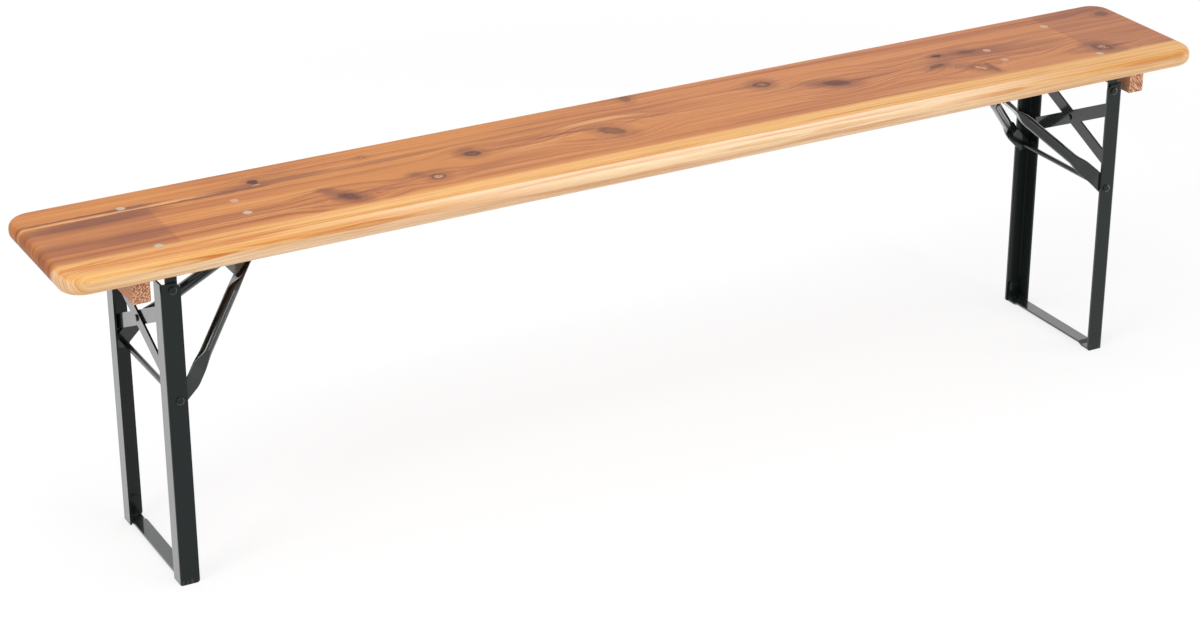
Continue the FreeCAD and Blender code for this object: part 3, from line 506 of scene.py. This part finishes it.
class BattenLooks(bpy.types.PropertyGroup):
    """Colours of the sawn battens."""
    face: colour_property("Sawn face", "Sawn long faces", linear(214, 164, 128))
    line: colour_property("Grain line", "Grain lines on the long faces", linear(180, 118, 84))
    end_pale: colour_property("End grain", "Early wood on the sawn ends",
                              linear(236, 186, 146))
    end_dark: colour_property("End specks", "Torn late wood on the sawn ends",
                              linear(150, 84, 54))


class SteelLooks(bpy.types.PropertyGroup):
    """Colours of the painted frames and the bare fasteners."""
    paint: colour_property("Paint", "Dark green-black gloss paint", linear(16, 25, 24))
    paint_worn: colour_property("Thin paint", "Paint that has worn thin at the feet",
                                linear(84, 92, 92))
    zinc: colour_property("Zinc", "Zinc-plated heads and nuts", linear(193, 175, 146))
    # A painted reflection: this pinker tint is laid into the colour of some discs as the
    # wood's reflection.
    zinc_wood_reflection: colour_property("Tinted zinc", "Zinc that mirrors the wood round it",
                               linear(204, 152, 130))
    spring: colour_property("Spring steel", "Blued spring leaf", linear(78, 84, 96))
    peel: FloatProperty(name="Orange peel", description="Depth of the paint's fine ripple",
                        default=0.00003, min=0.0, max=0.001, unit="LENGTH", precision=5)
    weld_radius: FloatProperty(name="Weld radius", description="Size of the weld beads",
                               default=0.0021, min=0.0005, max=0.005, unit="LENGTH",
                               precision=4)


class StageLooks(bpy.types.PropertyGroup):
    """The studio round the bench."""
    floor: colour_property("Floor", "Pale plain floor", (0.86, 0.86, 0.86))
    camera_place: FloatVectorProperty(name="Camera", description="Where the camera stands",
                                      default=(-1.9084, -3.3385, 1.9676), size=3,
                                      subtype="TRANSLATION", unit="LENGTH")
    camera_turn: FloatProperty(name="Turn", description="Camera's turn from +Y towards +X",
                               default=math.radians(28.849), unit="ROTATION")
    camera_dip: FloatProperty(name="Dip", description="Camera's angle below the horizon",
                              default=math.radians(24.99), unit="ROTATION")
    lens: FloatProperty(name="Lens", description="Focal length on a 36 mm wide sensor",
                        default=87.16, min=10.0, max=300.0, unit="CAMERA")


class BoardGrain:
    """The values over the board that its colours and its relief are worked out from."""

    def __init__(self, finish, looks):
        place, x, y, z = finish.place()
        self.x, self.y = x, y
        self.depth = z - TOP_Z
        self.end = finish.smooth(finish.math("ABSOLUTE", finish.facing()[0]), 0.45, 0.85)

        ragged = finish.ragged(place, (60.0, 150.0, 150.0), (0.014, 0.0050, 0.0))
        self.rough_x, self.rough_y, _ = finish.parts(ragged)
        self.shift, self.core, self.heart, self.rim, self.halo = knot_fields(
            finish, self.rough_x, self.rough_y)
        self.drift = finish.streaks((x, y, z), (1.3, 5.0, 5.0)) - 0.5
        self.wobble = finish.streaks((x, y, z), (9.0, 40.0, 40.0)) - 0.5

        self.radius = self.ring_radius(finish, looks)
        # A third value that is a plain number picks a slice of the noise.
        self.bands = finish.streaks((x, self.radius, 3.0), (0.55, 75.0, 1.0), 1.5)
        self.rings = finish.streaks((x, self.radius, 7.0), (0.80, 190.0, 1.0), 1.5)
        self.thin = finish.streaks((x, self.radius, 1.0), (1.60, 430.0, 1.0), 2.0, 0.6)
        self.fibre = finish.streaks((x, y, z), (30.0, 1300.0, 1300.0), 2.0, 0.6)
        self.cloud = finish.streaks((x, y, z), (2.6, 12.0, 12.0), 3.0, 0.55)
        self.blotch = finish.streaks((x, y, z), (9.0, 34.0, 34.0), 3.0, 0.6)
        self.speck = finish.streaks((x, y, z), (150.0, 300.0, 300.0), 3.0)

        self.sap = finish.smooth(y + self.wobble * 0.0060 + self.narrowing(finish)
                                 + self.thin * 0.009, looks.sap_edge + 0.0105,
                                 looks.sap_edge - 0.0025)
        self.late = finish.ridge(self.rings, 0.050) * finish.smooth(self.cloud, 0.34, 0.62)
        self.lines = finish.ridge(self.thin, 0.075)

    def narrowing(self, finish):
        """How much narrower the sapwood strip is towards the right end."""
        return finish.smooth(self.x, *SAP_NARROWS_X, SAP_NARROWS_BY)

    def ring_radius(self, finish, looks):
        """How far a place is from its pith, the heartwood's or the near strip's."""
        across = self.y - self.shift + self.drift * 0.022 + self.wobble * 0.0022
        heart = finish.distance(across - HEART_PITH_FAR, self.depth + HEART_PITH_DEPTH)
        sap = finish.distance(self.y + self.drift * 0.012 + self.wobble * 0.0016
                              + SAP_PITH_NEAR, self.depth + SAP_PITH_DEPTH)
        strip = finish.smooth(self.y + self.wobble * 0.0030 + self.narrowing(finish),
                              looks.sap_edge + 0.0020, looks.sap_edge - 0.0026)
        return heart + (sap * SAP_RING_SCALE - heart) * strip


def end_zones(finish, looks, grain):
    """Where the board is stained over the battens."""
    x = grain.x + grain.wobble * 0.004
    left = (finish.smooth(x, looks.zone_left + 0.002, looks.zone_left - 0.002)
            * finish.smooth(grain.y, *ZONE_FAR_Y) * 0.85)
    right = finish.smooth(x, looks.zone_right - 0.003, looks.zone_right + 0.003)
    return finish.math("MAXIMUM", left, right) * (0.62 + grain.blotch * 0.76)


def heartwood(finish, looks, grain):
    """The heartwood's colour, with its end zones, stains and pale grain."""
    rose = finish.smooth(grain.x + (grain.cloud - 0.5) * 1.1, *ROSE_X)
    light = finish.mix(rose * 0.80, looks.heart_light, looks.heart_rose)
    light = finish.mix(finish.smooth(grain.bands, 0.50, 0.70) * 0.70, light,
                       looks.heart_gold)
    tone = (finish.smooth(grain.bands, 0.50, 0.28) * 0.50 + grain.late * 0.48
            + grain.lines * 0.30 + finish.smooth(grain.cloud, 0.50, 0.74) * 0.24)
    wood = finish.mix(tone, light, looks.heart_dark)
    wood = finish.multiply(end_zones(finish, looks, grain), wood, looks.zone)

    streaky = grain.rough_y + grain.drift * 0.004 - grain.shift * 0.5
    stain = stains(finish, grain.rough_x, streaky, STAINS)
    wood = finish.mix(stain * (0.36 + grain.thin * 0.48 + grain.blotch * 0.36), wood,
                      looks.streak)
    pale = stains(finish, grain.rough_x, streaky, PALE_GRAIN)
    return finish.mix(pale * (0.34 + grain.thin * 0.8), wood, looks.heart_pale)


def sapwood(finish, looks, grain):
    """The near strip's colour, with a painted highlight on the pale round-over and painted
    floor bounce light on the face below it.
    """
    ripple = grain.wobble * 0.004
    # The round-over is pale sapwood with a painted highlight, which is strongest round the
    # middle and fades to both ends.
    off_middle = finish.math("ABSOLUTE", grain.x - HIGHLIGHT_MIDDLE_X)
    highlight_and_pale = (finish.smooth(grain.y + ripple, *ROUND_OVER_Y)
                  * finish.smooth(grain.depth + ripple, *ROUND_OVER_DEPTH)
                  * finish.smooth(off_middle, *HIGHLIGHT_FADE))
    # Painted floor bounce light: the lower face is paled towards the peach colour in the
    # middle stretch of the board.
    face = (finish.smooth(grain.depth, *BOUNCE_LIGHT_DEPTH, 0.85)
            * finish.smooth(grain.x, *BOUNCE_LIGHT_STARTS_X)
            * (1 - finish.smooth(grain.x, *BOUNCE_LIGHT_FADES_X, 0.45)))
    # edge holds the painted highlight and the painted bounce light together.
    edge = highlight_and_pale + face
    wood = finish.mix(edge, looks.sap_light, looks.sap_peach_and_light)
    streak = stains(finish, grain.rough_x, grain.rough_y, SAP_STREAKS)
    line = (grain.late * 0.58 + grain.lines * 0.44
            + finish.smooth(grain.bands, 0.46, 0.30) * 0.45
            + streak * (0.30 + grain.thin * 0.75))
    # The ring lines fade where the painted highlight and the painted bounce light lie.
    return finish.mix(line * (1 - edge * 0.45), wood, looks.sap_dark)


def with_knots(finish, looks, grain, wood):
    """The wood with the halos, rims, cores and pale hearts of its knots."""
    knot = 1 - grain.sap
    wood = finish.mix(grain.halo * knot * (0.35 + grain.blotch * 0.7), wood, looks.streak)
    wood = finish.mix(grain.rim * knot * (0.15 + grain.speck * 0.7), wood, looks.streak)
    wood = finish.mix(grain.core * knot * (0.40 + grain.speck), wood, looks.knot_dark)
    return finish.mix(grain.heart * knot * finish.smooth(grain.speck, 0.38, 0.56), wood,
                      looks.knot_pale)


def with_end_grain(finish, looks, grain, wood):
    """The wood with the arcs of its rings on the board's two ends."""
    wave = finish.math("SINE", grain.radius * END_RING_SCALE + grain.rings * 8.0)
    wood = finish.mix(grain.end * grain.sap * 0.55, wood, looks.sap_peach_and_light)
    arcs = finish.smooth(wave, 0.0, 1.0)
    tone = finish.mix(arcs * 0.8 + grain.lines * 0.3, END_EARLY_TINT, END_LATE_TINT)
    return finish.multiply(grain.end * 0.85, wood, tone)


class BENCH_OT_finish_board(bpy.types.Operator):
    """Gives the board its grain, knots, streaks and lacquer"""
    bl_idname = "bench.finish_board"
    bl_label = "Finish board"

    def execute(self, context):
        looks = context.scene.bench_board
        finish = new_finish("lacquered_softwood")
        grain = BoardGrain(finish, looks)
        wood = finish.mix(grain.sap, heartwood(finish, looks, grain),
                          sapwood(finish, looks, grain))
        wood = with_knots(finish, looks, grain, wood)
        wood = finish.multiply(finish.smooth(grain.fibre, 0.40, 0.78) * 0.34, wood,
                               PORE_TINT)
        wood = with_end_grain(finish, looks, grain, wood)

        relief = (grain.fibre * 0.5 + grain.lines * 0.3 - grain.late * 0.4
                  - grain.core * 0.8 + grain.speck * grain.core * 0.8)
        gloss = 0.42 + grain.thin * 0.12 + grain.end * 0.16 + grain.core * 0.10
        give(finish.surface({"Base Color": wood, "Roughness": gloss,
                             "Normal": finish.bump(relief, WOOD_RELIEF, 0.6),
                             "Coat Weight": looks.lacquer, "Coat Roughness": 0.22,
                             "IOR": 1.34}), "seat_board")
        return {"FINISHED"}


class BENCH_OT_finish_battens(bpy.types.Operator):
    """Gives the battens their sawn faces and torn ends"""
    bl_idname = "bench.finish_battens"
    bl_label = "Finish battens"

    def execute(self, context):
        looks = context.scene.bench_batten
        finish = new_finish("sawn_softwood")
        _, x, y, z = finish.place()
        end = finish.smooth(finish.math("ABSOLUTE", finish.facing()[1]), 0.45, 0.85)
        bow = finish.streaks((x, y, z), (20.0, 3.0, 20.0)) - 0.5

        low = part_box("right_batten")[0]
        radius = finish.distance(
            finish.math("ABSOLUTE", x) - (low.x - BATTEN_PITH_INWARD),
            z - (low.z - BATTEN_PITH_BELOW))
        phase = finish.math("FRACT", (radius + bow * 0.004) / BATTEN_RING_WIDTH)
        late = finish.smooth(phase, 0.30, 0.85) * finish.smooth(phase, 1.0, 0.90)
        fibre = finish.streaks((x, y, z), (900.0, 22.0, 900.0), 3.0)
        saw = finish.math("SINE", y * 2600.0 + z * 500.0 + bow * 6.0)

        fleck = finish.noise(finish.combine(x, y * 0.4, z), 560.0, 2.0, 0.7)
        slant = finish.noise(finish.combine(x * 420.0 + z * 300.0, y * 30.0,
                                            z * 60.0 - x * 60.0), 1.0)
        speck = fleck + (slant - fleck) * finish.smooth(x, 0.0, 0.01, 0.7)
        face = finish.mix(late * 0.55 + finish.smooth(fibre, 0.4, 0.8) * 0.4,
                          looks.face, looks.line)
        torn = finish.mix(finish.smooth(speck + late * 0.06, 0.44, 0.60), looks.end_pale,
                          looks.end_dark)
        height = fibre * 0.8 + saw * 0.12 * (1 - end) + speck * end * 1.6
        give(finish.surface({"Base Color": finish.mix(end, face, torn),
                             "Roughness": 0.72 + fibre * 0.15,
                             "Normal": finish.bump(height, SAWN_RELIEF, 0.8)}),
             *on_both_sides("batten"))
        return {"FINISHED"}


def gloss_paint(name, looks, facing_coat=0.05):
    """Gloss paint with orange peel, dust and worn feet, and a coat that shows at a slant."""
    finish = new_finish(name)
    place, x, y, z = finish.place()
    peel = finish.noise(place, 420.0, 2.0)
    dust = finish.noise(place, 1900.0, 2.0, 0.7)
    smear = finish.streaks((x, y, z), (30.0, 30.0, 6.0), 3.0, 0.6)
    scuff = finish.streaks((x, y, z), (500.0, 500.0, 90.0), 3.0, 0.65)
    worn = finish.smooth(z, 0.012, 0.0) * finish.smooth(scuff, 0.48, 0.66)
    tone = finish.multiply(finish.smooth(smear, 0.35, 0.75) * 0.5, looks.paint, SMEAR_TINT)
    tone = finish.mix(worn * 0.7, tone, looks.paint_worn)
    tone = finish.mix(finish.smooth(dust, 0.70, 0.80) * 0.35, tone, looks.paint_worn)
    slant = finish.node("ShaderNodeLayerWeight", {}, {"Blend": 0.5}, "Facing")
    coat = finish.smooth(slant, 0.22, 0.72, 1.0 - facing_coat) + facing_coat
    height = peel + dust * 0.12 - worn * 0.4
    return finish.surface({"Base Color": tone,
                           "Roughness": 0.26 + smear * 0.14 + worn * 0.3,
                           "Normal": finish.bump(height, looks.peel, 1.0),
                           "Coat Weight": coat, "Coat Roughness": 0.08, "Coat IOR": 2.35,
                           "IOR": 1.27})


class BENCH_OT_paint_frames(bpy.types.Operator):
    """Paints the leg frames, struts and brackets"""
    bl_idname = "bench.paint_frames"
    bl_label = "Paint frames"

    def execute(self, context):
        looks = context.scene.bench_steel
        give(gloss_paint("dark_green_gloss_paint", looks), *on_both_sides(
            "near_leg", "far_leg", "foot_bar", "outer_brace", "inner_brace", "brace_rivet",
            "hinge_rivets", "cross_rod", "catch_pin", "hinge_bracket", "catch_bracket"))
        give(gloss_paint("thick_gloss_paint", looks, 0.22), *on_both_sides(
            "near_strut", "far_strut", "yoke", "yoke_rivets"))
        return {"FINISHED"}


def zinc_plate(looks):
    """Dull zinc plate, warmer on some discs, where a reflection of the wood's pinker
    stretches is painted into the colour.
    """
    finish = new_finish("zinc_plate")
    place, x, y, _ = finish.place()
    bloom = finish.noise(place, 260.0, 3.0, 0.6)
    fine = finish.noise(place, 2600.0, 2.0)
    catch_x = sum(corner.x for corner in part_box("right_catch_bolts")) / 2
    right = finish.smooth(finish.math("ABSOLUTE", x - catch_x), 0.03, 0.01)
    left = finish.smooth(finish.math("ABSOLUTE", x + catch_x), 0.03, 0.01)
    # Painted reflection of the pinker wood on the heads round the catch bolts; on the left
    # side it is only on the far half.
    painted_reflection = right + left * finish.smooth(y, 0.0, 0.01)
    tone = finish.mix(painted_reflection * 0.8 + bloom * 0.2, looks.zinc, looks.zinc_wood_reflection)
    tone = finish.multiply(finish.smooth(bloom, 0.45, 0.75) * 0.4, tone, BLOOM_TINT)
    return finish.surface({"Base Color": tone, "Roughness": 0.30 + bloom * 0.25,
                           "Metallic": 0.55,
                           "Normal": finish.bump(fine + bloom, ZINC_RELIEF, 0.6)})


def spring_steel(looks):
    """Blued spring steel with rolling marks."""
    finish = new_finish("blued_spring_steel")
    place, x, y, z = finish.place()
    rolled = finish.streaks((x, y, z), (90.0, 1400.0, 90.0))
    bloom = finish.noise(place, 120.0, 3.0)
    tone = finish.multiply(finish.smooth(bloom, 0.4, 0.7), looks.spring, TEMPER_TINT)
    return finish.surface({"Base Color": tone, "Roughness": 0.26 + rolled * 0.2,
                           "Metallic": 1.0,
                           "Normal": finish.bump(rolled, ROLLED_RELIEF, 0.6)})


class BENCH_OT_finish_fasteners(bpy.types.Operator):
    """Gives bolts, nuts, screws and spring leaves their bare metal"""
    bl_idname = "bench.finish_fasteners"
    bl_label = "Finish fasteners"

    def execute(self, context):
        looks = context.scene.bench_steel
        give(zinc_plate(looks), *on_both_sides(
            "batten_screws", "hinge_bolts", "hinge_nuts", "catch_bolts", "catch_nuts"))
        give(spring_steel(looks), *on_both_sides("catch_spring"))
        return {"FINISHED"}


def add_bead(mesh, start, end, wall_a, wall_b, radius):
    """A rippled weld bead in the corner between two walls, from start to end."""
    ripple_length = radius * 0.9
    steps_per_ripple = 4
    arc_steps = 6
    taper_rate = 6.0
    end_size = 0.35
    ripple_size = 0.14
    hollow = 0.86
    root_depth = radius * 0.2
    along = (end - start).normalized()
    length = (end - start).length
    ripples = max(3, round(length / ripple_length))
    steps = ripples * steps_per_ripple
    rings = []
    for step in range(steps + 1):
        share = step / steps
        scallop = abs(math.sin(math.pi * ripples * share))
        taper = min(1.0, taper_rate * share, taper_rate * (1.0 - share))
        size = (radius * (end_size + (1.0 - end_size) * taper)
                * (1.0 - ripple_size + ripple_size * scallop))
        wander = 0.03 * radius * math.sin(9.0 * share + start.z * 900.0)
        middle = start + along * (length * share)
        ring = []
        for turn in range(arc_steps + 1):
            angle = math.radians(90.0 * turn / arc_steps)
            bulge = size * (1.0 if turn in (0, arc_steps) else hollow)
            offset = wall_a * (math.cos(angle) * bulge) + wall_b * (math.sin(angle) * bulge)
            ring.append(mesh.verts.new(middle + along * wander + offset))
        ring.append(mesh.verts.new(middle - (wall_a + wall_b) * root_depth))
        rings.append(ring)
    for first, second in zip(rings, rings[1:]):
        for index in range(len(first)):
            following = (index + 1) % len(first)
            mesh.faces.new((first[index], first[following], second[following],
                            second[index]))
    mesh.faces.new(rings[0])
    mesh.faces.new(list(reversed(rings[-1])))


def frame_beads(side, sign, radius):
    """All the weld beads of one leg frame, as one mesh."""
    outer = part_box(f"{side}_outer_brace")
    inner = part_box(f"{side}_inner_brace")
    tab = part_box(f"{side}_foot_bar")
    flange_y = -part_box(f"{side}_near_leg")[1].y
    outer_face = max(abs(outer[0].x), abs(outer[1].x)) * sign
    inner_face = min(abs(inner[0].x), abs(inner[1].x)) * sign
    middle = (outer[0].z + outer[1].z) / 2
    slope = ((outer[1].z - outer[0].z - BRACE_END_HEIGHT)
             / (outer[1].y - outer[0].y))
    outward = Vector((sign, 0, 0))
    up = Vector((0, 0, 1))

    mesh = bmesh.new()
    for hand in (-1, 1):
        to_middle = Vector((0, -hand, 0))
        for x, y, wall, lean in ((outer_face, hand * flange_y, outward, slope),
                                 (inner_face, hand * inner[1].y, -outward, -slope)):
            height = middle + y * lean
            add_bead(mesh, Vector((x, y, height - BRACE_BEAD_HALF)),
                     Vector((x, y, height + BRACE_BEAD_HALF)), wall, to_middle, radius)
        ends = (Vector((x, hand * tab[1].y, tab[1].z))
                for x in (tab[0].x + FOOT_BEAD_INSET, tab[1].x - FOOT_BEAD_INSET))
        add_bead(mesh, *ends, up, to_middle, radius)
    bmesh.ops.recalc_face_normals(mesh, faces=mesh.faces)
    data = bpy.data.meshes.new(f"{side}_weld_beads")
    mesh.to_mesh(data)
    mesh.free()
    for polygon in data.polygons:
        polygon.use_smooth = True
    return data


class BENCH_OT_add_weld_beads(bpy.types.Operator):
    """Welds the braces and the foot bars to the legs"""
    bl_idname = "bench.add_weld_beads"
    bl_label = "Add weld beads"

    def execute(self, context):
        radius = context.scene.bench_steel.weld_radius
        for side, sign in zip(SIDES, (-1, 1)):
            data = frame_beads(side, sign, radius)
            data.materials.append(bpy.data.materials["dark_green_gloss_paint"])
            beads = bpy.data.objects.new(f"{side}_weld_beads", data)
            context.scene.collection.objects.link(beads)
            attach(beads, f"{side}_leg_frame")
        return {"FINISHED"}


def add_softbox(name, place, target, width, height, power):
    """A soft rectangular lamp that faces a target."""
    data = bpy.data.lights.new(name, "AREA")
    data.shape = "RECTANGLE"
    data.size = width
    data.size_y = height
    data.energy = power
    lamp = bpy.data.objects.new(name, data)
    lamp.location = place
    lamp.rotation_mode = "QUATERNION"
    lamp.rotation_quaternion = (Vector(target) - Vector(place)).to_track_quat("-Z", "Y")
    bpy.context.scene.collection.objects.link(lamp)


def seen_directly(finish):
    """1 for what the camera sees straight, in a mirror or through glass."""
    total = 0.0
    for ray in ("Is Camera Ray", "Is Glossy Ray", "Is Transmission Ray"):
        total = finish.node("ShaderNodeLightPath", {}, {}, ray) + total
    return finish.math("MINIMUM", total, 1.0)


def add_floor(looks):
    """A plain floor that looks white and keeps a soft shadow under the bench."""
    data = bpy.data.meshes.new("studio_floor")
    outline = [(x * FLOOR_REACH, y * FLOOR_REACH, 0.0)
               for x, y in ((-1, -1), (1, -1), (1, 1), (-1, 1))]
    data.from_pydata(outline, [], [(0, 1, 2, 3)])
    floor = bpy.data.objects.new("studio_floor", data)
    bpy.context.scene.collection.objects.link(floor)
    finish = new_finish("studio_floor")
    seen = seen_directly(finish)
    paper = finish.node("ShaderNodeBsdfDiffuse", {}, {"Color": looks.floor})
    glow = finish.node("ShaderNodeEmission", {}, {"Color": WHITE,
                                                  "Strength": GLOW_STRENGTH})
    _, x, y, _ = finish.place()
    share = (finish.smooth(finish.distance(x, y), *GLOW_FADE, GLOW_SHARE_MORE)
             + GLOW_SHARE_NEAR)
    mixed = finish.node("ShaderNodeMixShader", {}, {0: seen * share, 1: paper, 2: glow})
    finish.node("ShaderNodeOutputMaterial", {}, {"Surface": mixed})
    data.materials.append(finish.owner)


def add_surround():
    """A world that lights the bench with a plain grey and looks white."""
    world = bpy.data.worlds.new("studio_surround")
    bpy.context.scene.world = world
    finish = Finish(world)
    level = finish.mix(seen_directly(finish), SURROUND_GREY, WHITE)
    surround = finish.node("ShaderNodeBackground", {}, {"Color": level})
    finish.node("ShaderNodeOutputWorld", {}, {"Surface": surround})


def add_camera(looks):
    """The camera where the photograph was taken from."""
    lens = bpy.data.cameras.new("photo_camera")
    lens.sensor_width = 36.0
    lens.lens = looks.lens
    lens.clip_start = 0.05
    lens.clip_end = 60.0
    camera = bpy.data.objects.new("photo_camera", lens)
    camera.location = looks.camera_place
    camera.rotation_euler = (math.pi / 2 - looks.camera_dip, 0.0, -looks.camera_turn)
    bpy.context.scene.collection.objects.link(camera)
    bpy.context.scene.camera = camera


class BENCH_OT_set_stage(bpy.types.Operator):
    """Adds the floor, the soft lamps, the white surround and the camera"""
    bl_idname = "bench.set_stage"
    bl_label = "Set stage"

    def execute(self, context):
        looks = context.scene.bench_stage
        add_floor(looks)
        add_surround()
        for softbox in SOFTBOXES:
            add_softbox(*softbox)
        add_camera(looks)
        context.scene.view_settings.view_transform = "Standard"
        return {"FINISHED"}


class BENCH_PT_sidebar(bpy.types.Panel):
    """The bench's finishes in the 3D view's sidebar"""
    bl_idname = "BENCH_PT_sidebar"
    bl_label = "Folding bench"
    bl_space_type = "VIEW_3D"
    bl_region_type = "UI"
    bl_category = "Bench"

    def draw(self, context):
        for operator in OPERATORS:
            self.layout.operator(operator.bl_idname)
        for name, group in GROUPS.items():
            box = self.layout.box()
            for field in group.__annotations__:
                box.prop(getattr(context.scene, name), field)


GROUPS = {"bench_board": BoardLooks, "bench_batten": BattenLooks, "bench_steel": SteelLooks,
          "bench_stage": StageLooks}
OPERATORS = (BENCH_OT_finish_board, BENCH_OT_finish_battens, BENCH_OT_paint_frames,
             BENCH_OT_finish_fasteners, BENCH_OT_add_weld_beads, BENCH_OT_set_stage)


def register():
    """Registers the classes and hangs the settings on the scene."""
    for group in (*GROUPS.values(), *OPERATORS, BENCH_PT_sidebar):
        bpy.utils.register_class(group)
    for name, group in GROUPS.items():
        setattr(bpy.types.Scene, name, PointerProperty(type=group))


def unregister():
    """Takes the settings and the classes away again."""
    for name in GROUPS:
        delattr(bpy.types.Scene, name)
    for group in (BENCH_PT_sidebar, *reversed(OPERATORS), *reversed(GROUPS.values())):
        bpy.utils.unregister_class(group)


def main():
    """Runs every operator in order."""
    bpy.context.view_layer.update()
    register()
    for operator in OPERATORS:
        category, name = operator.bl_idname.split(".")
        getattr(getattr(bpy.ops, category), name)()


if __name__ == "__main__":
    main()
